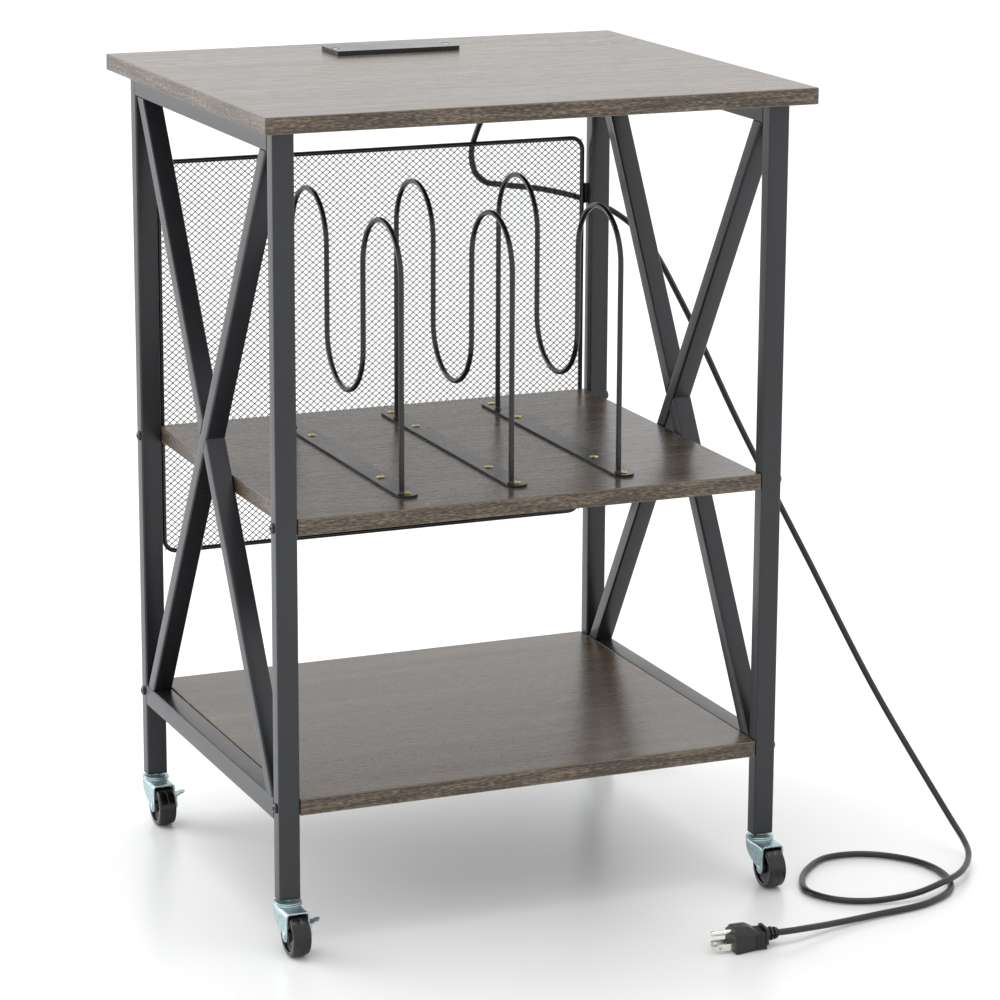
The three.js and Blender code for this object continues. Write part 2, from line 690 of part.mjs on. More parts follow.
// Threaded stem: shank in the insert, hexagon nut under the leg, and the peened end below the crown.
function caster_stem() {
  const nut_low = race_top + running_gap;
  const nut_high = nut_low + nut_height;
  const peen_high = crown_underside - running_gap;
  const shaft = turned([
    [0, peen_high - peen_height], [peen_radius, peen_high - peen_height], [peen_radius, peen_high],
    [stem_radius, peen_high], [stem_radius, leg_underside + stem_in_insert],
    [0, leg_underside + stem_in_insert],
  ], 'z', 12);
  const nut = bar('z', nut_radius, nut_low, nut_high, [0, 0], 6);
  return geometry_of(join([shaft, nut]));
}

function fork_side() {
  const shape = new THREE.Shape();
  const front = -caster_trail - fork_tip_radius;
  shape.moveTo(front, crown_top);
  shape.lineTo(front, wheel_radius);
  shape.absarc(-caster_trail, wheel_radius, fork_tip_radius, Math.PI, 1.75 * Math.PI);
  shape.lineTo(...fork_knee);
  shape.lineTo(fork_rear, fork_rear_low);
  shape.lineTo(fork_rear, crown_top);
  shape.closePath();
  const options = { depth: fork_plate, bevelEnabled: false, curveSegments: 3 };
  return new THREE.ExtrudeGeometry(shape, options)
    .rotateX(Math.PI / 2)
    .rotateZ(Math.PI / 2);
}

function fork_crown() {
  const shape = new THREE.Shape();
  const front = -caster_trail - fork_tip_radius;
  const meet = Math.asin(Math.sqrt(race_radius ** 2 - fork_outer ** 2) / race_radius);
  shape.moveTo(-fork_outer, front);
  shape.lineTo(fork_outer, front);
  shape.absarc(0, 0, race_radius, -meet, Math.PI + meet);
  shape.closePath();
  const options = { depth: fork_plate, bevelEnabled: false, curveSegments: 6 };
  return new THREE.ExtrudeGeometry(shape, options).translate(0, 0, crown_underside);
}

// Pressed fork: crown, two side plates and the two beads of the ball race on top.
function caster_fork() {
  const bore = stem_radius + running_gap;
  const bead = race_height / 4;
  const waist = race_radius - race_groove;
  const race = turned([
    [bore, crown_top - 0.5], [race_radius - 0.3, crown_top - 0.5], [race_radius, crown_top + 0.5 * bead],
    [race_radius, crown_top + 1.2 * bead], [waist, crown_top + 1.9 * bead],
    [race_radius - 0.3, crown_top + 2.6 * bead], [race_radius - 0.6, race_top], [bore, race_top],
  ], 'z', 20);
  const left = fork_side().translate(-fork_outer, 0, 0);
  const right = fork_side().translate(fork_inner, 0, 0);
  const axle_at = [-caster_trail, wheel_radius];
  const cutters = [
    bar('z', bore, crown_underside - 1, race_top + 1, [0, 0], 12),
    bar('x', axle_radius + 0.15, -fork_outer - 1, fork_outer + 1, axle_at, 12),
  ];
  return geometry_of(cut(join([fork_crown(), left, right, race]), cutters));
}

function caster_wheel() {
  const bore = axle_radius + running_gap;
  const hub_face = wheel_half - 0.2;
  const web = wheel_half - wheel_recess;
  const rim_inside = wheel_radius - wheel_rim;
  const face = [
    [bore, hub_face], [wheel_hub_radius, hub_face], [wheel_hub_radius, web], [rim_inside, web],
    [rim_inside, wheel_half], [wheel_radius - wheel_shoulder, wheel_half],
    [wheel_radius, wheel_half - wheel_shoulder],
  ];
  const other_face = face.map(([radius, x]) => [radius, -x]);
  return turned([...other_face, ...face.reverse()], 'x', 24).translate(0, -caster_trail, wheel_radius);
}

function caster_axle(braked) {
  const left = -fork_outer - 0.15;
  const right = fork_outer + 0.15 + (braked ? lever_thickness + 2 * running_gap : 0);
  const outline = [
    [0, left - axle_head_height], [0.7 * axle_head_radius, left - axle_head_height],
    [axle_head_radius, left - 0.4 * axle_head_height], [axle_head_radius, left],
    [axle_radius, left], [axle_radius, right],
    [axle_head_radius, right], [axle_head_radius, right + 0.4 * axle_head_height],
    [0.7 * axle_head_radius, right + axle_head_height], [0, right + axle_head_height],
  ];
  return turned(outline, 'x', 10).translate(0, -caster_trail, wheel_radius);
}

// Brake lever: an eye on the axle, an arm up along the fork, and a foot tab bent outwards.
function brake_lever() {
  const arm = new THREE.Shape();
  arm.absarc(0, 0, lever_eye_radius, Math.PI, 2 * Math.PI);
  arm.lineTo(lever_tab_half_width, lever_arm_height);
  arm.lineTo(-lever_tab_half_width, lever_arm_height);
  arm.closePath();
  const plate = new THREE.ExtrudeGeometry(arm, { depth: lever_thickness, bevelEnabled: false, curveSegments: 4 })
    .rotateX(Math.PI / 2)
    .rotateZ(Math.PI / 2);
  const tab = new THREE.Shape();
  const point = lever_tab_reach + lever_tab_point;
  tab.moveTo(0, -lever_tab_half_width);
  tab.lineTo(lever_tab_reach, -lever_tab_half_width);
  tab.lineTo(point, 0);
  tab.lineTo(lever_tab_reach, lever_tab_half_width);
  tab.lineTo(0, lever_tab_half_width);
  tab.closePath();
  const foot = new THREE.ExtrudeGeometry(tab, { depth: lever_thickness, bevelEnabled: false })
    .rotateY(-lever_tab_rise)
    .translate(0, 0, lever_arm_height - lever_thickness);
  const below_bend = block([-1, -stand_depth, -stand_depth], [0, stand_depth, stand_depth]);
  const eye = bar('x', axle_radius + running_gap, -1, lever_thickness + 1, [0, 0], 12);
  const lever = cut(join([plate, foot]), [eye, below_bend]);
  return geometry_of(lever).translate(fork_outer + running_gap, -caster_trail, wheel_radius);
}

function add_casters() {
  const insert_geometry = leg_insert();
  const stem_geometry = caster_stem();
  const fork_geometry = caster_fork();
  const wheel_geometry = caster_wheel();
  for (const [side, x] of [['left', -leg_centre_x], ['right', leg_centre_x]]) {
    for (const [row, y] of [['front', -leg_centre_y], ['rear', leg_centre_y]]) {
      const caster = new THREE.Group();
      caster.position.set(x, y, 0);
      stand.add(caster);
      const place = `${row}_${side}`;
      const braked = side === 'left';
      add(`${place}_leg_insert`, insert_geometry, finishes.black_plastic, caster);
      add(`${place}_caster_stem`, stem_geometry, finishes.zinc, caster);
      add(`${place}_caster_fork`, fork_geometry, finishes.zinc, caster);
      add(`${place}_caster_axle`, caster_axle(braked), finishes.zinc, caster);
      add(`${place}_caster_wheel`, wheel_geometry, finishes.black_plastic, caster);
      if (braked) {
        add(`${place}_brake_lever`, brake_lever(), finishes.zinc, caster);
      }
    }
  }
}

add_boards();
add_side_frame('left', -leg_centre_x);
add_side_frame('right', leg_centre_x);
add_shelf_bolts();
add_mesh_panel();
add_dividers();
add_power_unit();
add_cord();
add_plug();
add_casters();

export default stand;
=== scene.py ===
"""Looks of a mobile printer stand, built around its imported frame. Metres, +Z up, the front towards -Y."""

import math

import bmesh
import bpy
from mathutils import Matrix, Vector


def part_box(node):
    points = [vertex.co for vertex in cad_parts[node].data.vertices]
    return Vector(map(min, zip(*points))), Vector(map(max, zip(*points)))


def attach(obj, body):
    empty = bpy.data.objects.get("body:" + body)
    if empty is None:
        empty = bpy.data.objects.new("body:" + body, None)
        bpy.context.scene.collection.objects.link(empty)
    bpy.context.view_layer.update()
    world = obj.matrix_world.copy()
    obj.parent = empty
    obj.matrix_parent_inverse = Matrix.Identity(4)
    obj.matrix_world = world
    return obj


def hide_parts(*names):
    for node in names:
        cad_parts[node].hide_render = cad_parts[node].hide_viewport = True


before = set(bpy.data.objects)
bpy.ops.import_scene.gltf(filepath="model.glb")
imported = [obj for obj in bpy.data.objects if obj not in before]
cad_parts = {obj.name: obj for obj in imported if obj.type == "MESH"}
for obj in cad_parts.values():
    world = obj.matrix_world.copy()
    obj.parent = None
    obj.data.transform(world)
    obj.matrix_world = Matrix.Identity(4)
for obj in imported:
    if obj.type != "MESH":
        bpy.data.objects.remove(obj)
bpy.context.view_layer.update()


def placed(name, data):
    """A new object in the scene."""
    thing = bpy.data.objects.new(name, data)
    bpy.context.scene.collection.objects.link(thing)
    return thing


def mesh_of(name, shape):
    """Turns a shape into a mesh and lets go of the shape."""
    mesh = bpy.data.meshes.new(name)
    shape.to_mesh(mesh)
    shape.free()
    return mesh


# ---------------------------------------------------------------- camera
CAMERA_AT = Vector((-1.2791, -3.1258, 1.1959))
CAMERA_YAW = 0.4016          # towards +X from straight ahead, radians
CAMERA_PITCH = -0.2466       # below the horizon
CAMERA_ROLL = 0.0049
CAMERA_LENS = 133.4          # millimetres on a 36 mm sensor


def add_camera():
    data = bpy.data.cameras.new("camera")
    data.lens = CAMERA_LENS
    data.sensor_width = 36
    data.clip_start = 0.1
    data.clip_end = 60
    camera = placed("camera", data)
    aim = (Matrix.Rotation(-CAMERA_YAW, 4, "Z")
           @ Matrix.Rotation(math.pi / 2 + CAMERA_PITCH, 4, "X")
           @ Matrix.Rotation(CAMERA_ROLL, 4, "Z"))
    camera.matrix_world = Matrix.Translation(CAMERA_AT) @ aim
    bpy.context.scene.camera = camera


# ---------------------------------------------------------------- materials
class Recipe:
    """A material's node tree, with short calls for the nodes that the finishes use."""

    def __init__(self, name, colour, roughness, **sockets):
        self.material = bpy.data.materials.new(name)
        self.material.use_nodes = True
        self.tree = self.material.node_tree
        self.shader = self.tree.nodes["Principled BSDF"]
        self.shader.inputs["Base Color"].default_value = (*colour, 1)
        self.shader.inputs["Roughness"].default_value = roughness
        for socket, value in sockets.items():
            self.shader.inputs[socket.replace("_", " ")].default_value = value
        self.place = self.tree.nodes.new("ShaderNodeTexCoord")

    def plug(self, value, socket):
        """Sets an input, or joins an output to it."""
        if isinstance(value, bpy.types.NodeSocket):
            self.tree.links.new(value, socket)
        else:
            socket.default_value = value

    def stretched(self, scale, source=None):
        """The object's own coordinates, or a given vector, multiplied along each axis."""
        mapping = self.tree.nodes.new("ShaderNodeMapping")
        mapping.inputs["Scale"].default_value = scale
        self.tree.links.new(source or self.place.outputs["Object"], mapping.inputs["Vector"])
        return mapping.outputs["Vector"]

    def noise(self, vector, detail=3.0, roughness=0.55):
        node = self.tree.nodes.new("ShaderNodeTexNoise")
        node.inputs["Scale"].default_value = 1.0
        node.inputs["Detail"].default_value = detail
        node.inputs["Roughness"].default_value = roughness
        self.tree.links.new(vector, node.inputs["Vector"])
        return node.outputs["Fac"]

    def maths(self, operation, first, second=0.0):
        node = self.tree.nodes.new("ShaderNodeMath")
        node.operation = operation
        self.plug(first, node.inputs[0])
        self.plug(second, node.inputs[1])
        return node.outputs[0]

    def times(self, value, factor):
        return self.maths("MULTIPLY", value, factor)

    def plus(self, first, second):
        return self.maths("ADD", first, second)

    def vector(self, *parts):
        node = self.tree.nodes.new("ShaderNodeCombineXYZ")
        for part, socket in zip(parts, node.inputs):
            self.plug(part, socket)
        return node.outputs[0]

    def split(self, vector):
        node = self.tree.nodes.new("ShaderNodeSeparateXYZ")
        self.tree.links.new(vector, node.inputs[0])
        return node.outputs

    def between(self, value, low, high, out_low=0.0, out_high=1.0):
        """Maps a range of a value to another range, held at its ends."""
        node = self.tree.nodes.new("ShaderNodeMapRange")
        self.tree.links.new(value, node.inputs["Value"])
        for name, number in (("From Min", low), ("From Max", high),
                             ("To Min", out_low), ("To Max", out_high)):
            node.inputs[name].default_value = number
        return node.outputs["Result"]

    def colours(self, value, stops):
        """A colour for each place along a value, as (place, colour) stops."""
        node = self.tree.nodes.new("ShaderNodeValToRGB")
        ramp = node.color_ramp
        while len(ramp.elements) < len(stops):
            ramp.elements.new(0.5)
        for element, (position, colour) in zip(ramp.elements, stops):
            element.position = position
            element.color = (*colour, 1)
        self.tree.links.new(value, node.inputs["Fac"])
        return node.outputs["Color"]

    def mixed(self, share, first, second):
        node = self.tree.nodes.new("ShaderNodeMix")
        node.data_type = "RGBA"
        self.plug(share, node.inputs["Factor"])
        for value, socket in ((first, node.inputs[6]), (second, node.inputs[7])):
            self.plug(value if isinstance(value, bpy.types.NodeSocket) else (*value, 1), socket)
        return node.outputs[2]

    def bump(self, height, distance, strength=1.0):
        node = self.tree.nodes.new("ShaderNodeBump")
        node.inputs["Distance"].default_value = distance
        node.inputs["Strength"].default_value = strength
        self.tree.links.new(height, node.inputs["Height"])
        self.tree.links.new(node.outputs["Normal"], self.shader.inputs["Normal"])

    def set(self, socket, value):
        self.tree.links.new(value, self.shader.inputs[socket])


WOOD_DARK = (0.032, 0.022, 0.016)
WOOD_MIDDLE = (0.068, 0.049, 0.034)
WOOD_LIGHT = (0.118, 0.089, 0.064)
WOOD_FLECK = (0.2, 0.152, 0.104)
WOOD_ARRIS = (0.13, 0.099, 0.068)


def oak_laminate():
    """Printed oak: grain along X with a few knots on the faces, and flecked edge bands."""
    recipe = Recipe("oak_laminate", WOOD_MIDDLE, 0.3)
    x, y, z = recipe.split(recipe.place.outputs["Object"])
    board = recipe.times(z, 7.3)
    waver = recipe.noise(recipe.stretched((3.5, 9, 1)), detail=1.5)
    across = recipe.plus(y, recipe.times(recipe.maths("SUBTRACT", waver, 0.5), 0.022))

    knots = recipe.tree.nodes.new("ShaderNodeTexVoronoi")
    knots.inputs["Scale"].default_value = 1.0
    knot_place = recipe.vector(recipe.times(x, 2.6), recipe.times(y, 8.5), board)
    recipe.tree.links.new(knot_place, knots.inputs["Vector"])
    from_knot = knots.outputs["Distance"]
    near_knot = recipe.maths("POWER", recipe.between(from_knot, 0.0, 0.42, 1.0, 0.0), 2.0)
    across = recipe.plus(across, recipe.times(near_knot, 0.035))

    grain = recipe.vector(x, across, board)
    broad = recipe.noise(recipe.stretched((1.6, 26, 1), grain), detail=2.0)
    streaks = recipe.noise(recipe.stretched((5.5, 150, 1), grain), detail=4.0, roughness=0.7)
    fibres = recipe.noise(recipe.stretched((20, 480, 1), grain), detail=3.0, roughness=0.7)
    pores = recipe.noise(recipe.stretched((75, 950, 1), grain), detail=1.0)
    tone = recipe.plus(recipe.times(broad, 0.42), recipe.times(streaks, 0.36))
    tone = recipe.plus(tone, recipe.times(fibres, 0.22))
    face = recipe.colours(tone, [(0.34, WOOD_DARK), (0.5, WOOD_MIDDLE), (0.66, WOOD_LIGHT)])
    face = recipe.mixed(recipe.between(pores, 0.6, 0.72, 0.0, 0.55), face, WOOD_DARK)
    face = recipe.mixed(recipe.between(from_knot, 0.03, 0.16, 0.75, 0.0), face, WOOD_DARK)

    edge_place = recipe.vector(recipe.plus(x, y), z)
    flecks = recipe.noise(recipe.stretched((150, 820, 1), edge_place), detail=2.5, roughness=0.6)
    bands = recipe.noise(recipe.stretched((14, 230, 1), edge_place), detail=2.0)
    edge_tone = recipe.plus(recipe.times(flecks, 0.66), recipe.times(bands, 0.34))
    edge = recipe.colours(edge_tone, [(0.42, WOOD_DARK), (0.5, WOOD_MIDDLE), (0.64, WOOD_FLECK)])

    flat = recipe.maths("ABSOLUTE", recipe.split(recipe.place.outputs["Normal"])[2])
    is_face = recipe.maths("GREATER_THAN", flat, 0.97)
    is_edge = recipe.maths("SUBTRACT", 1.0, is_face)
    colour = recipe.mixed(recipe.maths("GREATER_THAN", flat, 0.2), edge, WOOD_ARRIS)
    recipe.set("Base Color", recipe.mixed(is_face, colour, face))
    gloss = recipe.between(recipe.plus(streaks, pores), 0.7, 1.3, 0.2, 0.34)
    recipe.set("Roughness", recipe.plus(gloss, recipe.times(is_edge, 0.16)))
    recipe.bump(recipe.plus(fibres, recipe.times(flecks, is_edge)), 0.00012, 0.5)
    return recipe.material


def mottled(name, dark, light, gloss, patches, grain, relief, metallic=0.0, light_from=0.7):
    """Finish whose colour and gloss drift in patches, over a fine grain. Noises are (scales, detail)."""
    recipe = Recipe(name, dark, gloss[0], Metallic=metallic)
    drift = recipe.noise(recipe.stretched(patches[0]), detail=patches[1])
    fine = recipe.noise(recipe.stretched(grain[0]), detail=grain[1])
    recipe.set("Base Color", recipe.colours(drift, [(0.3, dark), (light_from, light)]))
    recipe.set("Roughness", recipe.between(drift, 0.3, 0.7, *gloss))
    recipe.bump(fine, *relief)
    return recipe.material


def moulded_plastic(name, colour, roughness, grain_scale):
    """Moulded plastic or rubber with a spark-eroded grain and slight wear of its gloss."""
    lighter = tuple(1.5 * channel for channel in colour)
    return mottled(name, colour, lighter, (roughness - 0.06, roughness + 0.08), ((40, 40, 40), 3.0),
                   ((grain_scale,) * 3, 3.0), (0.00006, 0.5), light_from=0.75)


def plated_metal(name, dark, light, roughness):
    clouds = ((350, 350, 350), 3.0)
    return mottled(name, dark, light, (roughness - 0.06, roughness + 0.1), clouds, clouds, (0.00003, 0.4),
                   metallic=1.0)


FINISHES = {
    "oak": oak_laminate(),
    # charcoal with a fine orange peel
    "powder_coat": mottled("powder_coat", (0.01, 0.011, 0.013), (0.015, 0.016, 0.02), (0.25, 0.34),
                           ((9, 9, 5), 4.0), ((1250, 1250, 1250), 2.0), (0.00008, 0.55)),
    "black_steel": mottled("black_steel", (0.005, 0.005, 0.005), (0.01, 0.01, 0.01), (0.21, 0.32),
                           ((14, 14, 14), 3.0), ((1600, 1600, 1600), 2.0), (0.00006, 0.5), light_from=0.75),
    "black_mesh": moulded_plastic("black_mesh", (0.004, 0.004, 0.004), 0.4, 1800),
    # blue-white plating with faint draw lines and cloudiness
    "zinc": mottled("zinc_plate", (0.3, 0.4, 0.42), (0.45, 0.56, 0.57), (0.24, 0.42),
                    ((120, 120, 160), 4.0), ((900, 900, 120), 2.0), (0.00004, 0.4), metallic=0.85),
    "black_plastic": moulded_plastic("black_plastic", (0.008, 0.008, 0.009), 0.42, 1500),
    "wheel_plastic": moulded_plastic("wheel_plastic", (0.0012, 0.0012, 0.0012), 0.28, 1300),
    "cord_jacket": moulded_plastic("cord_jacket", (0.0045, 0.0045, 0.005), 0.34, 1700),
    "brass": plated_metal("brass", (0.62, 0.47, 0.17), (0.86, 0.72, 0.36), 0.28),
    "prong_metal": plated_metal("prong_metal", (0.6, 0.58, 0.54), (0.82, 0.8, 0.76), 0.2),
}


# ---------------------------------------------------------------- mesh helpers
def rounded_rectangle(width, depth, radius, steps=6):
    """Outline of a rectangle with round corners, round the origin."""
    points = []
    for corner, (sign_x, sign_y) in enumerate(((1, 1), (-1, 1), (-1, -1), (1, -1))):
        middle_x = sign_x * (width / 2 - radius)
        middle_y = sign_y * (depth / 2 - radius)
        for step in range(steps + 1):
            angle = (corner + step / steps) * math.pi / 2
            points.append((middle_x + radius * math.cos(angle), middle_y + radius * math.sin(angle)))
    return points


def arc(radius, start, end, steps):
    """Points on a circle round the origin, from one angle to another."""
    angles = [start + (end - start) * step / steps for step in range(steps + 1)]
    return [(radius * math.cos(angle), radius * math.sin(angle)) for angle in angles]


def prism(outline, low, high):
    """Solid with an outline in XY, from one height to another."""
    shape = bmesh.new()
    bottom = [shape.verts.new((x, y, low)) for x, y in outline]
    top = [shape.verts.new((x, y, high)) for x, y in outline]
    shape.faces.new(bottom[::-1])
    shape.faces.new(top)
    ring_between(shape, bottom, top)
    return shape


def block(low, high):
    """Box between two corners."""
    shape = bmesh.new()
    bmesh.ops.create_cube(shape, size=1)
    size = [b - a for a, b in zip(low, high)]
    middle = [(a + b) / 2 for a, b in zip(low, high)]
    shape.transform(Matrix.Translation(middle) @ Matrix.Diagonal((*size, 1)))
    return shape


def ring_between(shape, lower, upper):
    """Faces between two closed rings of vertices, either of which may be a single point."""
    count = max(len(lower), len(upper))
    for index in range(count):
        after = (index + 1) % count
        corners = [lower[index % len(lower)]]
        if len(lower) > 1:
            corners.append(lower[after])
        if len(upper) > 1:
            corners.append(upper[after])
        corners.append(upper[index % len(upper)])
        shape.faces.new(corners)


def skin(shape, rings, closed=False):
    """Faces along a row of rings, which may run back to its start."""
    for lower, upper in zip(rings, rings[1:] + (rings[:1] if closed else [])):
        ring_between(shape, lower, upper)


def hexagon(angle):
    """Share of the half width over flats at which a hexagon's side lies."""
    return 1 / math.cos((angle + math.pi / 6) % (math.pi / 3) - math.pi / 6)


def cross(angle):
    """Radius of a cross recess, as a share of the length of its arms."""
    from_arm = abs((angle + math.pi / 4) % (math.pi / 2) - math.pi / 4)
    return min(1, 0.24 / max(math.sin(from_arm), 0.01))


def turned(outline, sides=40, closed=False):
    """Solid turned about Z from (radius, height) rows, low end first. A third value shapes the row's ring."""
    shape = bmesh.new()
    rings = []
    for radius, height, *form in outline:
        if radius == 0:
            rings.append([shape.verts.new((0, 0, height))])
            continue
        ring = []
        for index in range(sides):
            angle = 2 * math.pi * index / sides
            reach = radius * (form[0](angle) if form else 1)
            ring.append(shape.verts.new((reach * math.cos(angle), reach * math.sin(angle), height)))
        rings.append(ring)
    skin(shape, rings, closed)
    return shape


def swept(points, radius, sides=12, closed=False):
    """Round bar along points, with flat ends unless it closes on itself."""
    shape = bmesh.new()
    count = len(points)
    rings = []
    across = None
    for index, point in enumerate(points):
        before = points[index - 1] if closed or index else point
        after = points[(index + 1) % count] if closed or index < count - 1 else point
        ahead = (after - before).normalized()
        if across is None:
            across = ahead.orthogonal().normalized()
        across = (across - across.project(ahead)).normalized()
        beside = ahead.cross(across)
        ring = []
        for side in range(sides):
            angle = 2 * math.pi * side / sides
            outwards = math.cos(angle) * across + math.sin(angle) * beside
            ring.append(shape.verts.new(point + radius * outwards))
        rings.append(ring)
    skin(shape, rings, closed)
    if not closed:
        shape.faces.new(rings[0][::-1])
        shape.faces.new(rings[-1])
    return shape


def soften(shape, width, steps=2, over=30):
    """Rounds the edges that are sharper than an angle in degrees."""
    sharp = [edge for edge in shape.edges
             if len(edge.link_faces) == 2 and edge.calc_face_angle(0) > math.radians(over)]
    bmesh.ops.bevel(shape, geom=sharp, offset=width, segments=steps, profile=0.5, affect="EDGES")
    return shape


def moved(shape, *steps):
    """Applies transforms in turn, the first one first."""
    for step in steps:
        shape.transform(step)
    return shape


def together(shapes):
    """One mesh that holds several closed shapes."""
    whole = bmesh.new()
    for shape in shapes:
        part = mesh_of("part", shape)
        whole.from_mesh(part)
        bpy.data.meshes.remove(part)
    return whole


def shift(x=0.0, y=0.0, z=0.0):
    return Matrix.Translation((x, y, z))


def spin(axis, degrees):
    return Matrix.Rotation(math.radians(degrees), 4, axis)


def temporary(shape):
    bmesh.ops.recalc_face_normals(shape, faces=shape.faces)
    return placed("temporary", mesh_of("temporary", shape))


def carved(shape, cutters):
    """A shape with other shapes cut out of it."""
    thing = temporary(shape)
    knife = temporary(together(cutters))
    cut = thing.modifiers.new("cut", "BOOLEAN")
    cut.operation = "DIFFERENCE"
    cut.solver = "EXACT"
    cut.object = knife
    scene_state = bpy.context.evaluated_depsgraph_get()
    result = bmesh.new()
    result.from_mesh(thing.evaluated_get(scene_state).to_mesh())
    for used in (thing, knife):
        mesh = used.data
        bpy.data.objects.remove(used)
        bpy.data.meshes.remove(mesh)
    return result


def piece(name, shape, finish, body, stands_for=(), crease=35):
    """Turns a shape in the row frame into a piece that rides on a body."""
    bmesh.ops.recalc_face_normals(shape, faces=shape.faces)
    mesh = mesh_of(name, shape)
    mesh.shade_smooth()
    mesh.set_sharp_from_angle(angle=math.radians(crease))
    mesh.materials.append(FINISHES[finish])
    thing = placed(name, mesh)
    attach(thing, body)
    if stands_for:
        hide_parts(*stands_for)
    return thing


def box_of(node):
    """A node's lowest and highest corners, its centre and its size."""
    low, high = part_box(node)
    return low, high, (low + high) / 2, high - low


def centre_of(node):
    return box_of(node)[2]


# ---------------------------------------------------------------- CAD nodes that stay
CORNERS = ("front_left", "front_right", "rear_left", "rear_right")
BRAKED = ("front_left", "rear_left")


def finish_kept_nodes():
    """Boards, strips and the leg inserts keep their own shapes."""
    kept = {"tabletop": "oak", "middle_shelf": "oak", "bottom_shelf": "oak"}
    for number in (1, 2, 3):
        kept[f"divider_strip_{number}"] = "black_steel"
    for place in CORNERS:
        kept[f"{place}_leg_insert"] = "black_plastic"
    for node, finish in kept.items():
        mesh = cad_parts[node].data
        mesh.materials.clear()
        mesh.materials.append(FINISHES[finish])


# ---------------------------------------------------------------- side frames
TUBE_CORNER = 0.002
BRACE_THICKNESS = 0.015
WELD_GAP = 0.0002


def tube(width, depth, length):
    """Round-cornered tube about Z, its middle at the origin."""
    return prism(rounded_rectangle(width, depth, TUBE_CORNER), -length / 2, length / 2)


def straight_tube(node, axis):
    _, _, centre, size = box_of(node)
    if axis == "Z":
        shape = tube(size.x, size.y, size.z)
    else:
        shape = moved(tube(size.x, size.z, size.y), spin("X", 90))
    piece(f"{node}_tube", moved(shape, Matrix.Translation(centre)), "powder_coat", "frame", [node])


def trimmed(shape, point, normal):
    """Cuts away what lies beyond a plane on its normal's side, and closes the cut."""
    everything = [*shape.verts, *shape.edges, *shape.faces]
    cut = bmesh.ops.bisect_plane(shape, geom=everything, plane_co=point, plane_no=normal, clear_outer=True)
    rim = [part for part in cut["geom_cut"] if isinstance(part, bmesh.types.BMEdge)]
    bmesh.ops.edgenet_fill(shape, edges=rim)
    return shape


def brace_bar(centre, size, lean):
    bar = tube(size.x, BRACE_THICKNESS, 2 * size.z)
    return moved(bar, Matrix.Rotation(lean, 4, "X"), Matrix.Translation(centre))


def add_braces(side):
    """The whole brace leans forward at its top. The other one is two halves that stop at its faces."""
    low, high, centre, size = box_of(f"{side}_brace_long")
    diagonal = math.hypot(size.y, size.z) / 2
    lean = math.atan2(size.y, size.z) - math.asin(BRACE_THICKNESS / 2 / diagonal)
    up, down = Vector((0, 0, 1)), Vector((0, 0, -1))
    whole = trimmed(trimmed(brace_bar(centre, size, lean), high, up), low, down)
    piece(f"{side}_brace_long_tube", whole, "powder_coat", "frame", [f"{side}_brace_long"])
    across = Matrix.Rotation(lean, 3, "X") @ Vector((0, 1, 0))
    for half, sign, end, outwards in (("upper", 1, high, up), ("lower", -1, low, down)):
        stop = centre + sign * (BRACE_THICKNESS / 2 + WELD_GAP) * across
        shape = trimmed(brace_bar(centre, size, -lean), end, outwards)
        shape = trimmed(shape, stop, -sign * across)
        piece(f"{side}_brace_{half}_tube", shape, "powder_coat", "frame", [f"{side}_brace_{half}"])


def add_side_frames():
    for side in ("left", "right"):
        straight_tube(f"{side}_front_leg", "Z")
        straight_tube(f"{side}_rear_leg", "Z")
        straight_tube(f"{side}_top_rail", "Y")
        straight_tube(f"{side}_bottom_rail", "Y")
        add_braces(side)


# ---------------------------------------------------------------- bolts and screws
BOLT_HEAD = 0.0046
BOLT_HEAD_HEIGHT = 0.0024
BOLT_SHANK = 0.0025
BOLT_SOCKET = 0.0015


def bolt_shape(length):
    """Button head bolt about Z, its head on top of z = 0 and its shank below."""
    dome = []
    for step in range(9):
        angle = math.pi / 2 * step / 8
        dome.append((BOLT_SOCKET + 0.0005 + (BOLT_HEAD - BOLT_SOCKET - 0.0005) * math.cos(angle),
                     0.0004 + (BOLT_HEAD_HEIGHT - 0.0004) * math.sin(angle)))
    recess = [(BOLT_SOCKET, BOLT_HEAD_HEIGHT - 0.0001, hexagon), (BOLT_SOCKET, 0.0009, hexagon), (0, 0.0007)]
    return turned([(0, -length), (BOLT_SHANK * 0.8, -length), (BOLT_SHANK, -length + 0.0005),
                   (BOLT_SHANK, 0), (BOLT_HEAD, 0), *dome, *recess], sides=48)


def add_shelf_bolts():
    for side, sign in (("left", -1), ("right", 1)):
        for row in ("front", "rear"):
            for shelf in ("middle", "bottom"):
                node = f"{side}_{row}_{shelf}_shelf_bolt"
                low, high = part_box(node)
                seat = low.x + BOLT_HEAD_HEIGHT if sign < 0 else high.x - BOLT_HEAD_HEIGHT
                length = high.x - low.x - BOLT_HEAD_HEIGHT
                place = Vector((seat, centre_of(node).y, centre_of(node).z))
                shape = moved(bolt_shape(length), spin("Y", 90 * sign), Matrix.Translation(place))
                piece(f"{node}_body", shape, "black_steel", "frame", [node])


def screw_shape(head, height, shank, length):
    """Countersunk or pan screw about Z, its head's underside at z = 0."""
    arm = 0.58 * head
    dome = [(head * math.cos(a), height * (0.35 + 0.65 * math.sin(a)))
            for a in (0, 0.35, 0.7, 1.0, math.acos(arm / head * 1.05))]
    tip = [(0, -length), (shank * 0.3, -length + shank), (shank, -length + 3 * shank), (shank, -0.0012)]
    recess = [(arm, 0.93 * height, cross), (0.7 * arm, 0.25 * height, cross), (0, 0.2 * height)]
    return turned([*tip, (head * 0.94, 0), *dome, *recess], sides=48)


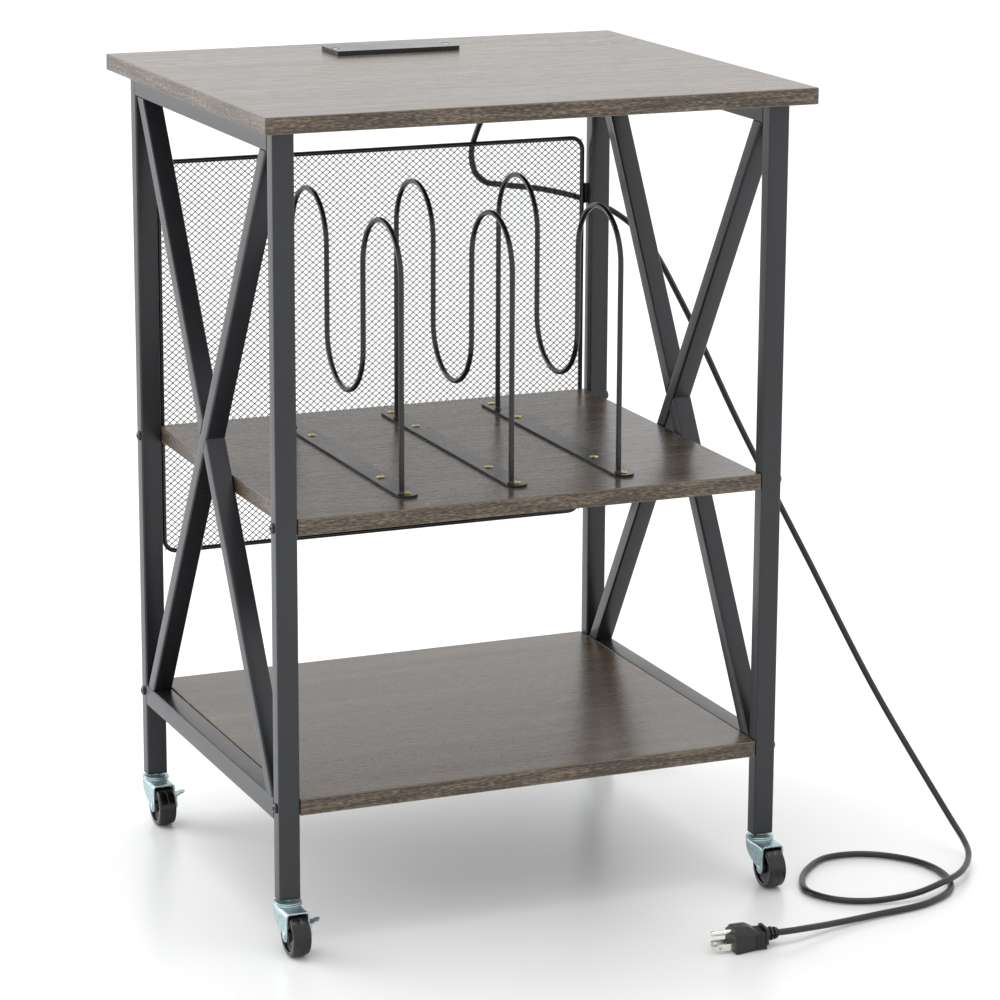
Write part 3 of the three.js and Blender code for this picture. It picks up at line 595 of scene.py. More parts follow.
SCREW_HEAD = 0.0041
SCREW_HEAD_HEIGHT = 0.0013
STRIP_SCREW_INSET = 0.0095
STRIP_INNER_SCREW = 0.09
PLATE_SCREW_HALF_SPACING = 0.056
RAIL_SCREW_PLACES = {"front": 0.16, "rear": 0.84}    # as shares of the rail's length


def add_brass_screws():
    for number in (1, 2, 3):
        _, high, centre, size = box_of(f"divider_strip_{number}")
        outer = size.y / 2 - STRIP_SCREW_INSET
        for index, y in enumerate((-outer, -STRIP_INNER_SCREW, STRIP_INNER_SCREW, outer)):
            turn = spin("Z", 31 * (4 * number + index))
            shape = moved(screw_shape(SCREW_HEAD, SCREW_HEAD_HEIGHT, 0.0014, 0.012), turn,
                          shift(centre.x, centre.y + y, high.z))
            piece(f"divider_{number}_screw_{index + 1}", shape, "brass", "frame")


def add_rail_screws():
    """Screws that go up through the top rails into the tabletop."""
    for side in ("left", "right"):
        low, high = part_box(f"{side}_top_rail")
        for row, share in RAIL_SCREW_PLACES.items():
            y = low.y + share * (high.y - low.y)
            shape = moved(screw_shape(0.0042, 0.0016, 0.0018, 0.03), spin("X", 180),
                          shift((low.x + high.x) / 2, y, low.z))
            piece(f"{side}_{row}_rail_screw", shape, "black_steel", "frame")


# ---------------------------------------------------------------- mesh back panel
ROD_RADIUS = 0.00225
PANEL_CORNER = 0.012
TAB_THICKNESS = 0.0016
TAB_HEIGHTS = {"upper": 0.593, "lower": 0.324}
TAB_HALF_HEIGHT = 0.01
SHEET_GAP = 0.0003                # between the sheet's edge and the rods
MESH_CELL = (0.0072, 0.006)       # one diamond, across and up
MESH_STRAND = 0.00072
MESH_DEPTH = 0.0006
KNOT_LENGTH = 0.0018


def panel_size():
    """Centre of the panel's frame, and the half width and half height to its rods' centre lines."""
    _, _, centre, size = box_of("mesh_sheet")
    gap = ROD_RADIUS + SHEET_GAP
    return centre, size.x / 2 + gap, size.z / 2 + gap


def add_mesh_frame():
    centre, half_width, half_height = panel_size()
    outline = rounded_rectangle(2 * half_width, 2 * half_height, PANEL_CORNER, steps=10)
    path = [Vector((centre.x + x, centre.y, centre.z + z)) for x, z in outline]
    shapes = [swept(path, ROD_RADIUS, sides=16, closed=True)]
    low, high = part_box("mesh_frame")
    tab_depth = high.y - centre.y
    screws = []
    for sign in (-1, 1):
        face = high.x if sign > 0 else low.x
        xs = sorted((face, face - sign * TAB_THICKNESS))
        inner = face - sign * TAB_THICKNESS
        for level, z in TAB_HEIGHTS.items():
            plate = block((xs[0], centre.y - ROD_RADIUS, z - TAB_HALF_HEIGHT),
                          (xs[1], centre.y + tab_depth, z + TAB_HALF_HEIGHT))
            web_xs = sorted((sign * half_width + centre.x, inner))
            web = block((web_xs[0], centre.y - 0.5 * ROD_RADIUS, z - TAB_HALF_HEIGHT),
                        (web_xs[1], centre.y + 0.5 * ROD_RADIUS, z + TAB_HALF_HEIGHT))
            shapes += [soften(plate, 0.0005), soften(web, 0.0003)]
            screw = moved(screw_shape(0.0028, 0.0012, 0.0013, 0.01), spin("Y", -90 * sign),
                          shift(inner, centre.y + tab_depth / 2 + ROD_RADIUS / 2, z))
            screws.append((f"mesh_panel_{'right' if sign > 0 else 'left'}_{level}_screw", screw))
    piece("mesh_panel_frame", together(shapes), "black_steel", "frame", ["mesh_frame"])
    for name, screw in screws:
        piece(name, screw, "black_steel", "frame")


def strand(shape, start, end, depth):
    """Flat strand of the mesh between two points of the panel's plane."""
    ahead = (end - start).normalized()
    beside = Vector((ahead.z, 0, -ahead.x)) * MESH_STRAND / 2
    out = Vector((0, depth, 0))
    base = Vector((0, MESH_DEPTH / 2, 0))
    near = [shape.verts.new(p + side + out - base) for p in (start, end) for side in (beside, -beside)]
    far = [shape.verts.new(p + side + out + base) for p in (start, end) for side in (beside, -beside)]
    order = (0, 1, 3, 2)
    shape.faces.new([near[i] for i in order])
    shape.faces.new([far[i] for i in order[::-1]])
    for i, j in zip(order, order[1:] + order[:1]):
        shape.faces.new((near[j], near[i], far[i], far[j]))


def clipped(start, step, half_width, half_height):
    """The stretch of an endless line through `start` along `step` that lies in the panel, or None."""
    first, last = -1e9, 1e9
    for place, slope, half in ((start[0], step[0], half_width), (start[1], step[1], half_height)):
        near, far = sorted(((-half - place) / slope, (half - place) / slope))
        first, last = max(first, near), min(last, far)
    return (first, last) if last - first > 1 else None


def add_mesh_sheet():
    """Diamond mesh: two sets of slanting strands with a longer knot wherever they cross."""
    centre, half_width, half_height = panel_size()
    cell_width, cell_height = MESH_CELL
    shape = bmesh.new()
    lines = math.ceil(half_width / cell_width + half_height / cell_height) + 1
    for slant in (1, -1):
        step = (cell_width / 2, slant * cell_height / 2)
        for line in range(-lines, lines + 1):
            stretch = clipped((line * cell_width, 0), step, half_width, half_height)
            if stretch is None:
                continue
            ends = [Vector((centre.x + line * cell_width + share * step[0], centre.y,
                            centre.z + share * step[1])) for share in stretch]
            strand(shape, *ends, slant * 0.25 * MESH_DEPTH)
    columns = math.floor(half_width / (cell_width / 2))
    rows = math.floor(half_height / (cell_height / 2))
    for column in range(-columns, columns + 1):
        for row in range(-rows, rows + 1):
            if (column + row) % 2:
                continue
            x, z = centre.x + column * cell_width / 2, centre.z + row * cell_height / 2
            reach = min(KNOT_LENGTH / 2, half_width - abs(x - centre.x))
            if reach > KNOT_LENGTH / 4:
                knot(shape, Vector((x, centre.y, z)), reach)
    piece("diamond_mesh", shape, "black_mesh", "frame", ["mesh_sheet"], crease=80)


def knot(shape, middle, reach):
    """Bonded crossing of two strands: a flat lozenge, longer across than up."""
    high = 0.62 * MESH_STRAND
    deep = 0.75 * MESH_DEPTH
    tips = [shape.verts.new(middle + Vector(offset)) for offset in
            ((reach, 0, 0), (0, 0, high), (-reach, 0, 0), (0, 0, -high))]
    for out in (deep, -deep):
        peak = shape.verts.new(middle + Vector((0, out, 0)))
        for first, second in zip(tips, tips[1:] + tips[:1]):
            shape.faces.new((first, second, peak))


# ---------------------------------------------------------------- file dividers
WIRE_RADIUS = 0.0025
VALLEY_OVER_FOOT = 0.1132         # lower arch's centre over the wire's feet


def divider_path(node):
    """Centre line of the bent wire: up, over, down, under, up, over and down."""
    low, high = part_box(node)
    x = (low.x + high.x) / 2
    bend = (high.y - low.y - 2 * WIRE_RADIUS) / 6
    middle = (low.y + high.y) / 2
    top = high.z - WIRE_RADIUS - bend
    foot = low.z
    points = [Vector((x, middle - 3 * bend, foot))]
    for y, z, rise in ((-2 * bend, top, 1), (0, foot + VALLEY_OVER_FOOT, -1), (2 * bend, top, 1)):
        for step in range(25):
            angle = math.pi * (1 - step / 24)
            points.append(Vector((x, middle + y + bend * math.cos(angle), z + rise * bend * math.sin(angle))))
    points.append(Vector((x, middle + 3 * bend, foot)))
    return points


def add_dividers():
    for number in (1, 2, 3):
        node = f"divider_wire_{number}"
        path = divider_path(node)
        shapes = [swept(path, WIRE_RADIUS, sides=20)]
        for foot in (path[0], path[-1]):
            weld = turned([(0, -0.0002), (WIRE_RADIUS + 0.0013, -0.0002), (WIRE_RADIUS + 0.0012, 0.0003),
                           (WIRE_RADIUS + 0.0005, 0.0009), (WIRE_RADIUS + 0.00002, 0.0021), (0, 0.0021)],
                          sides=24)
            shapes.append(moved(weld, Matrix.Translation(foot)))
        piece(f"{node}_bent", together(shapes), "black_steel", "frame", [node])


# ---------------------------------------------------------------- power unit
SINK_DEPTH = 0.0015


def add_power_plate():
    """Plate on the tabletop, its screws let in flush."""
    low, high, centre, size = box_of("power_plate")
    plate = soften(moved(prism(rounded_rectangle(size.x, size.y, 0.0022), low.z, high.z),
                         shift(centre.x, centre.y)), 0.0006, 2)
    sinks = []
    for name, sign in (("left", -1), ("right", 1)):
        place = shift(centre.x + sign * PLATE_SCREW_HALF_SPACING, centre.y, high.z - SINK_DEPTH)
        sinks.append(moved(turned([(0, 0), (SCREW_HEAD, 0), (SCREW_HEAD + 0.0004, 0.01), (0, 0.01)]), place))
        screw = screw_shape(SCREW_HEAD - 0.0001, SCREW_HEAD_HEIGHT, 0.0015, 0.028)
        screw = moved(screw, spin("Z", 20 * sign), place, shift(z=0.00005))
        piece(f"power_plate_{name}_screw", screw, "brass", "frame")
    piece("power_plate_body", carved(plate, sinks), "black_steel", "frame", ["power_plate"])


OUTLET_SIZE = (0.034, 0.032)
OUTLET_PLACES = (-0.0405, -0.0035)
BLADE_SPACING = 0.0127
USB_PLACE = 0.036
USB_HALF_WIDTH = 0.0066
USB_LEVELS = (-0.0085, 0.0085)
SOCKET_DEPTH = 0.007


def outlet_slots(x, face, z):
    """Cutters for two blade slots and an earth hole."""
    slots = []
    for offset, height in ((-BLADE_SPACING / 2, 0.0085), (BLADE_SPACING / 2, 0.007)):
        slots.append(block((x + offset - 0.0011, face - SOCKET_DEPTH, z + 0.003 - height / 2),
                           (x + offset + 0.0011, face + 0.002, z + 0.003 + height / 2)))
    hole = turned([(0, -SOCKET_DEPTH), (0.0025, -SOCKET_DEPTH), (0.0025, 0.002), (0, 0.002)], sides=24)
    slots.append(moved(hole, spin("X", -90), shift(x, face, z - 0.0085)))
    return slots


def add_power_housing():
    low, high, centre, size = box_of("power_housing")
    shell = soften(moved(prism(rounded_rectangle(size.x, size.y, 0.003), low.z, high.z),
                         shift(centre.x, centre.y)), 0.0012, 3)
    recesses = []
    for x in OUTLET_PLACES:
        outline = rounded_rectangle(OUTLET_SIZE[0] + 0.0006, OUTLET_SIZE[1] + 0.0006, 0.0045)
        recesses.append(moved(prism(outline, -0.0005, SOCKET_DEPTH + 0.002), spin("X", 90),
                              shift(centre.x + x, high.y + 0.0004, centre.z)))
    for level in USB_LEVELS:
        x, z = centre.x + USB_PLACE, centre.z + level
        recesses.append(block((x - USB_HALF_WIDTH, high.y - SOCKET_DEPTH, z - 0.0028),
                              (x + USB_HALF_WIDTH, high.y + 0.002, z + 0.0028)))
    piece("power_housing_shell", carved(shell, recesses), "black_plastic", "frame", ["power_housing"])
    for number, x in enumerate(OUTLET_PLACES, 1):
        outline = rounded_rectangle(*OUTLET_SIZE, 0.0042)
        face = high.y - 0.0006
        insert = moved(prism(outline, 0, SOCKET_DEPTH), spin("X", 90), shift(centre.x + x, face, centre.z))
        insert = carved(soften(insert, 0.0006), outlet_slots(centre.x + x, face, centre.z))
        piece(f"outlet_{number}", insert, "cord_jacket", "frame")
    for number, level in enumerate(USB_LEVELS, 1):
        x, z = centre.x + USB_PLACE, centre.z + level
        tongue = block((x - 0.0052, high.y - SOCKET_DEPTH + 0.0002, z - 0.0001),
                       (x + 0.0052, high.y - 0.0012, z + 0.0017))
        piece(f"usb_tongue_{number}", soften(tongue, 0.0002), "cord_jacket", "frame")


RELIEF_RADIUS = 0.0055


def add_cord_relief():
    """Tapered rubber boot with grooves, from the housing's end outwards."""
    low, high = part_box("cord_relief")
    length = high.x - low.x
    end = CORD_RADIUS + 0.001
    outline = [(0, 0), (RELIEF_RADIUS + 0.0009, 0), (RELIEF_RADIUS + 0.001, 0.0005),
               (RELIEF_RADIUS + 0.001, 0.0016), (RELIEF_RADIUS + 0.0006, 0.002)]
    ribs = 5
    start = 0.0024
    pitch = (length - start - 0.0006) / ribs
    for rib in range(ribs):
        along = start + rib * pitch
        outer = RELIEF_RADIUS + (end - RELIEF_RADIUS) * along / length
        groove = outer - 0.0009
        outline += [(groove, along), (outer - 0.0001, along + 0.0002), (outer, along + 0.4 * pitch),
                    (outer - 0.0001, along + 0.62 * pitch), (groove, along + 0.68 * pitch)]
    outline += [(end, length - 0.0004), (end - 0.0003, length), (0, length)]
    centre = (low + high) / 2
    boot = moved(turned(outline, sides=36), spin("Y", 90), shift(low.x, centre.y, centre.z))
    piece("cord_relief_boot", boot, "cord_jacket", "frame", ["cord_relief"], crease=50)


# ---------------------------------------------------------------- cord and plug
CORD_RADIUS = 0.003
FOOTPRINT_SHIFT = 0.0035          # from the tabletop's middle to the origin, front to back
CORD_POINTS = [
    # straight out of the relief, then back and down behind the mesh panel
    (0.0816, 0.154, 0.7127),
    (0.087, 0.154, 0.7127),
    (0.101, 0.158, 0.709),
    (0.11, 0.169, 0.698),
    (0.112, 0.186, 0.682),
    (0.109, 0.2, 0.662),
    (0.105, 0.206, 0.639),
    (0.109, 0.206, 0.619),
    (0.119, 0.206, 0.609),
    (0.137, 0.206, 0.605),
    # along behind the panel, and round the leg
    (0.185, 0.206, 0.597),
    (0.238, 0.206, 0.581),
    (0.262, 0.199, 0.568),
    (0.28, 0.172, 0.546),
    # one long slope down to the floor
    (0.298, 0.121, 0.487),
    (0.326, 0.05, 0.38),
    (0.363, -0.027, 0.262),
    (0.4, -0.108, 0.142),
    (0.44, -0.19, 0.034),
    (0.443, -0.214, 0.017),
    (0.434, -0.238, 0.012),
    # over its own tail, and a loose loop on the floor, clear of the turning caster
    (0.408, -0.27, 0.01),
    (0.376, -0.29, 0.01),
    (0.34, -0.3, 0.007),
    (0.3, -0.293, 0.0035),
    (0.27, -0.275, 0.0033),
    (0.258, -0.247, 0.0033),
    (0.266, -0.22, 0.0033),
    (0.284, -0.195, 0.0033),
    (0.316, -0.172, 0.0033),
    (0.355, -0.176, 0.0033),
    (0.389, -0.208, 0.0033),
    (0.399, -0.248, 0.0033),
    (0.384, -0.292, 0.0033),
    # away to the plug
    (0.345, -0.317, 0.0033),
    (0.285, -0.327, 0.0036),
    (0.235, -0.338, 0.006),
    (0.206, -0.347, 0.0093),
    (0.184, -0.352, 0.0113),
    (0.173, -0.3513, 0.0113),
]
CORD_STEPS = 12                   # between two of the route's points


def smooth_route(corners):
    """Centripetal Catmull-Rom curve through the points."""
    points = [Vector(corner) + Vector((0, FOOTPRINT_SHIFT, 0)) for corner in corners]
    padded = [2 * points[0] - points[1], *points, 2 * points[-1] - points[-2]]
    route = []
    for before, start, end, after in zip(padded, padded[1:], padded[2:], padded[3:]):
        times = [0.0]
        for near, far in ((before, start), (start, end), (end, after)):
            times.append(times[-1] + math.sqrt((far - near).length))
        for step in range(CORD_STEPS):
            time = times[1] + (times[2] - times[1]) * step / CORD_STEPS
            route.append(point_at(time, times, (before, start, end, after)))
    return [*route, points[-1]]


def point_at(time, times, points):
    """Barry and Goldman's pyramid for one stretch of a Catmull-Rom curve."""
    def between(near, far, start, end):
        return near.lerp(far, (time - start) / (end - start))

    first = [between(points[i], points[i + 1], times[i], times[i + 1]) for i in range(3)]
    second = [between(first[i], first[i + 1], times[i], times[i + 2]) for i in range(2)]
    return between(*second, times[1], times[2])


PLUG_HEADING = math.pi - 0.07
PLUG_GAP = 0.0003                 # between the cord's end and the neck
PLUG_NECK = 0.0135
PLUG_FACE = 0.045                 # from the cord's end to the face that the prongs stand on
PLUG_WIDTH = 0.027
PLUG_UNDERSIDE = -0.011           # from the cord's centre line
PLUG_BLOCK_TOP = 0.0054
PLUG_BOSS_TOP = 0.0116
BLADE_HEIGHT = -0.0059
EARTH_PIN_HEIGHT = 0.006


def plug_neck_shape():
    """Tapered neck with two rings that are slotted for bending."""
    rows = [(0, 0), (0.0041, 0), (0.0046, 0.0006)]
    rings = ((0.0016, 0.0054), (0.0055, 0.0061))
    for start, radius in rings:
        rows += [(radius - 0.0015, start), (radius - 0.0002, start + 0.0001), (radius, start + 0.0003),
                 (radius + 0.0003, start + 0.0022), (radius + 0.0001, start + 0.0024),
                 (radius - 0.0013, start + 0.0025)]
    rows += [(0.005, 0.0095), (0.0056, 0.0098), (0.006, PLUG_NECK), (0, PLUG_NECK)]
    neck = moved(turned(rows, sides=40), spin("Y", 90))
    slots = []
    for start, _ in rings:
        for turn in (0, 90):
            slot = block((start - 0.0002, -0.00055, 0.0036), (start + 0.0026, 0.00055, 0.008))
            mirror = block((start - 0.0002, -0.00055, -0.008), (start + 0.0026, 0.00055, -0.0036))
            slots += [moved(slot, spin("X", turn)), moved(mirror, spin("X", turn))]
    return carved(neck, slots)


def plug_boss_shape():
    """Boss round the earth pin: sloping sides, and a slope down towards the cord."""
    shape = bmesh.new()
    levels = ((PLUG_BLOCK_TOP - 0.0008, 0.0215, 0.0245), (PLUG_BLOCK_TOP + 0.0002, 0.0219, 0.0236),
              (PLUG_BOSS_TOP - 0.0004, 0.0304, 0.0112), (PLUG_BOSS_TOP, 0.0311, 0.0102))
    rings = []
    for height, rear, width in levels:
        face = PLUG_FACE - (0.0003 if height < PLUG_BOSS_TOP else 0.0008)
        corners = ((rear, -width / 2), (face, -width / 2), (face, width / 2), (rear, width / 2))
        rings.append([shape.verts.new((x, y, height)) for x, y in corners])
    shape.faces.new(rings[0][::-1])
    shape.faces.new(rings[-1])
    skin(shape, rings)
    return soften(shape, 0.0005, 2, over=25)


def plug_body_shape():
    """Moulded plug along +X from the cord: neck, finger stop, waisted grip with ridges, and the boss."""
    stop = prism(rounded_rectangle(0.0156, 0.02, 0.0022), -0.00125, 0.00125)
    stop = moved(stop, spin("Y", 90), shift(PLUG_NECK))
    waist = ((0.0, 0.33), (0.1, 0.325), (0.34, 0.34), (0.55, 0.4), (0.8, 0.475), (0.94, 0.498), (1.0, 0.49))
    side = [(PLUG_NECK + along * (PLUG_FACE - PLUG_NECK), half * PLUG_WIDTH) for along, half in waist]
    outline = [*side, *[(x, -y) for x, y in reversed(side)]]
    grip = soften(prism(outline, PLUG_UNDERSIDE, PLUG_BLOCK_TOP), 0.0009, 2, over=50)
    ridges = []
    for index in range(5):
        x = PLUG_NECK + 0.0024 + 0.002 * index
        for sign in (-1, 1):
            ys = sorted((sign * 0.316 * PLUG_WIDTH, sign * 0.5 * PLUG_WIDTH))
            ridges.append(block((x, ys[0], PLUG_UNDERSIDE + 0.0022),
                                (x + 0.0009, ys[1], PLUG_BLOCK_TOP - 0.0022)))
    return together([plug_neck_shape(), soften(stop, 0.0005), carved(grip, ridges), plug_boss_shape()])


def blade_shape(y):
    """Flat blade with a round hole near its end and a chamfered tip."""
    thickness, height, length = 0.0015, 0.0063, 0.0178
    hole_radius, hole_inset = 0.0015, 0.0043
    outline = [(0, 0), (length - 0.0016, 0), (length, 0.0013), (length, height - 0.0013),
               (length - 0.0016, height), (0, height)]
    blade = prism(outline, -thickness / 2, thickness / 2)
    hole = moved(prism(arc(hole_radius, 0, 2 * math.pi, 16)[:-1], -0.002, 0.002),
                 shift(length - hole_inset, height / 2))
    blade = soften(carved(blade, [hole]), 0.00015, 1, over=60)
    return moved(blade, spin("X", 90), shift(PLUG_FACE - 0.001, y, BLADE_HEIGHT - height / 2))


def earth_pin_shape():
    """Round pin with a domed end."""
    radius, length = 0.0024, 0.0208
    dome = [(across, length - radius + along) for across, along in arc(radius, 0, 1.2, 3)]
    pin = turned([(0, 0), (radius, 0), *dome, (0, length)], sides=28)
    return moved(pin, spin("Y", 90), shift(PLUG_FACE - 0.001, 0, EARTH_PIN_HEIGHT))


def add_cord_and_plug():
    route = smooth_route(CORD_POINTS)
    tube_shape = swept(route, CORD_RADIUS, sides=16)
    cord = piece("power_cord_tube", tube_shape, "cord_jacket", "frame", ["power_cord"])
    ahead = Vector((math.cos(PLUG_HEADING), math.sin(PLUG_HEADING), 0))
    place = Matrix.Translation(route[-1] + PLUG_GAP * ahead) @ Matrix.Rotation(PLUG_HEADING, 4, "Z")
    body = piece("plug_body", moved(plug_body_shape(), place), "cord_jacket", "frame", ["power_plug"])
    prongs = together([blade_shape(-BLADE_SPACING / 2), blade_shape(BLADE_SPACING / 2), earth_pin_shape()])
    prongs = piece("plug_prongs", moved(prongs, place), "prong_metal", "frame")


# ---------------------------------------------------------------- casters
WHEEL_RADIUS = 0.019
WHEEL_HALF = 0.0085
AXLE_AHEAD = -0.0215              # from the swivel's axis, front to back
FORK_INNER = 0.0093
FORK_OUTER = 0.0111
CROWN_LOW = 0.0394
CROWN_TOP = 0.0412
RACE_RADIUS = 0.0132
RACE_TOP = 0.0444
STEM_RADIUS = 0.003
FORK_TIP = 0.0055
BEND_OUTER = 0.0034
BEND_INNER = BEND_OUTER - (FORK_OUTER - FORK_INNER)


def fork_reach(z):
    """Front and rear of the fork's side plate at a height."""
    if z < WHEEL_RADIUS:
        half = math.sqrt(max(FORK_TIP ** 2 - (WHEEL_RADIUS - z) ** 2, 0))
        return AXLE_AHEAD - half, AXLE_AHEAD + half
    share = (z - WHEEL_RADIUS) / (CROWN_TOP - WHEEL_RADIUS)
    rear_low = AXLE_AHEAD + FORK_TIP
    rear_high = math.sqrt(RACE_RADIUS ** 2 - FORK_OUTER ** 2)
    return AXLE_AHEAD - FORK_TIP, rear_low + (rear_high - rear_low) * (1 - (1 - share) ** 3.2)


def fork_stations():
    """Rows of (outer x, outer z, inner x, inner z) from the left tip, over the crown, to the right tip."""
    rows = []
    low = WHEEL_RADIUS - FORK_TIP
    for step in range(9):
        z = WHEEL_RADIUS - FORK_TIP * math.cos(math.pi / 2 * step / 8)
        rows.append((-FORK_OUTER, max(z, low + 0.00002), -FORK_INNER, max(z, low + 0.00002)))
    straight = CROWN_TOP - BEND_OUTER
    edge = -FORK_OUTER + BEND_OUTER
    for step in range(1, 11):
        z = WHEEL_RADIUS + (straight - WHEEL_RADIUS) * step / 10
        rows.append((-FORK_OUTER, z, -FORK_INNER, z))
    for step in range(1, 7):
        angle = math.pi / 2 * step / 6
        rows.append((edge - BEND_OUTER * math.cos(angle), straight + BEND_OUTER * math.sin(angle),
                     edge - BEND_INNER * math.cos(angle), straight + BEND_INNER * math.sin(angle)))
    for step in range(1, 5):
        x = edge * (1 - step / 5)
        rows.append((x, CROWN_TOP, x, CROWN_LOW))
    return rows + [(0, CROWN_TOP, 0, CROWN_LOW)] + [(-a, b, -c, d) for a, b, c, d in reversed(rows)]


def fork_plate_shape():
    """The pressed fork: a bent sheet, cut to the side plates' outline and to the race's round."""
    shape = bmesh.new()
    columns = []
    for outer_x, outer_z, inner_x, inner_z in fork_stations():
        front, rear = fork_reach(outer_z)
        if outer_z > CROWN_TOP - BEND_OUTER:
            rear = max(rear, math.sqrt(RACE_RADIUS ** 2 - min(abs(outer_x), FORK_OUTER) ** 2) - 0.0002)
        column = []
        for x, z in ((outer_x, outer_z), (inner_x, inner_z)):
            column.append([shape.verts.new((x, front + (rear - front) * step / 8, z)) for step in range(9)])
        columns.append(column)
    for (outer_a, inner_a), (outer_b, inner_b) in zip(columns, columns[1:]):
        for step in range(8):
            shape.faces.new((outer_a[step], outer_b[step], outer_b[step + 1], outer_a[step + 1]))
            shape.faces.new((inner_a[step + 1], inner_b[step + 1], inner_b[step], inner_a[step]))
        for step, flip in ((0, False), (8, True)):
            rim = [outer_a[step], inner_a[step], inner_b[step], outer_b[step]]
            shape.faces.new(rim[::-1] if flip else rim)
    for outer, inner in (columns[0], columns[-1]):
        for step in range(8):
            shape.faces.new((outer[step], outer[step + 1], inner[step + 1], inner[step]))
    bmesh.ops.remove_doubles(shape, verts=shape.verts, dist=0.000001)
    return shape


def bead(radius, middle, half, bulge, steps=6):
    """Half round of a rolled bead, from its low side to its high side."""
    rows = []
    for step in range(steps + 1):
        angle = math.pi * (step / steps - 0.5)
        rows.append((radius - bulge * (1 - math.cos(angle)), middle + half * math.sin(angle)))
    return rows


def race_shape():
    """The two rolled cups of the ball race, on top of the crown."""
    bore = STEM_RADIUS + 0.0003
    base = CROWN_TOP - 0.0004
    height = RACE_TOP - base
    return turned([(bore, base), (RACE_RADIUS - 0.001, base),
                   *bead(RACE_RADIUS, base + 0.29 * height, 0.25 * height, 0.0007),
                   *bead(RACE_RADIUS - 0.0007, base + 0.76 * height, 0.2 * height, 0.0007),
                   (RACE_RADIUS - 0.0022, RACE_TOP), (0.0075, RACE_TOP), (0.0071, RACE_TOP - 0.0004),
                   (bore, RACE_TOP - 0.0004)], sides=56, closed=True)


def stem_shape():
    """Threaded stem with its hexagon nut on the race and its peened end under the crown."""
    low = CROWN_LOW - 0.0015
    nut_low, nut_high = RACE_TOP + 0.0003, RACE_TOP + 0.0023
    rows = [(0, low), (0.0038, low), (0.0046, low + 0.0005), (0.0046, low + 0.001),
            (STEM_RADIUS, low + 0.0012), (STEM_RADIUS, nut_low), (0.0049, nut_low, hexagon),
            (0.0052, nut_low + 0.0003, hexagon), (0.0052, nut_high - 0.0004, hexagon),
            (0.0048, nut_high), (STEM_RADIUS, nut_high)]
    thread = 8
    for turn in range(thread):
        z = nut_high + 0.0006 + 0.0024 * turn
        rows += [(STEM_RADIUS - 0.0003, z), (STEM_RADIUS, z + 0.0006)]
    return turned([*rows, (STEM_RADIUS - 0.0004, 0.0667), (0, 0.067)], sides=36)


def wheel_shape():
    """Wheel about Z: crowned tread with round shoulders, dished sides, a hub and a mould line."""
    side = [(0.0028, WHEEL_HALF - 0.0004), (0.0046, WHEEL_HALF - 0.0002), (0.0052, WHEEL_HALF - 0.0006),
            (0.0057, WHEEL_HALF - 0.0027), (0.0069, WHEEL_HALF - 0.0031), (0.0126, WHEEL_HALF - 0.0031),
            (0.0139, WHEEL_HALF - 0.0026), (0.0144, WHEEL_HALF - 0.0003), (0.015, WHEEL_HALF),
            (0.0168, WHEEL_HALF)]
    shoulder = []
    for step in range(7):
        angle = math.pi / 2 * step / 6
        shoulder.append((0.0168 + 0.0019 * math.sin(angle), WHEEL_HALF - 0.0019 * (1 - math.cos(angle))))
    tread = [(WHEEL_RADIUS - 0.0001, 0.0042), (WHEEL_RADIUS, 0.0004), (WHEEL_RADIUS - 0.0001, 0.0002)]
    half = [*side, *shoulder, *tread]
    low = [(radius, -along) for radius, along in half]
    return turned([*low, *reversed(half)], sides=64, closed=True)


def rivet_shape(left, right):
    """Axle rivet about Z, from one fork plate's outer face to the other's."""
    dome = [(0.0037 * a, 0.0004 + 0.0008 * b) for a, b in arc(1, 0, 1.2, 3)]
    head = [(0.0038, 0.0), *dome, (0.0008, 0.0012), (0.0004, 0.0007), (0, 0.0006)]
    low = [(radius, left - height) for radius, height in reversed(head)]
    high = [(radius, right + height) for radius, height in head]
    return turned([*low, (0.0024, left), (0.0024, right), *high], sides=32)


def lever_shape():
    """Brake lever: an eye on the axle, an arm up along the fork, and a pointed foot tab bent outwards."""
    thickness, half, height = 0.0015, 0.005, 0.01
    arm = arc(half, math.pi, 2 * math.pi, 16)
    arm += [(half, height - 0.001), (half - 0.001, height), (-half + 0.001, height), (-half, height - 0.001)]
    hole = arc(0.0028, 0, 2 * math.pi, 24)[:-1]
    plate = carved(prism(arm, 0, thickness), [prism(hole, -0.001, thickness + 0.001)])
    plate = moved(plate, spin("X", 90), spin("Z", 90))
    tab = [(0.0, -half), (0.004, -half), (0.007, -half + 0.0022), (0.009, -half + 0.001), (0.012, 0),
           (0.009, half - 0.001), (0.007, half - 0.0022), (0.004, half), (0.0, half)]
    foot = soften(prism(tab, 0, thickness), 0.0003)
    foot = moved(foot, Matrix.Rotation(-0.3, 4, "Y"), shift(0, 0, height - thickness))
    return together([soften(plate, 0.0003, over=60), foot])


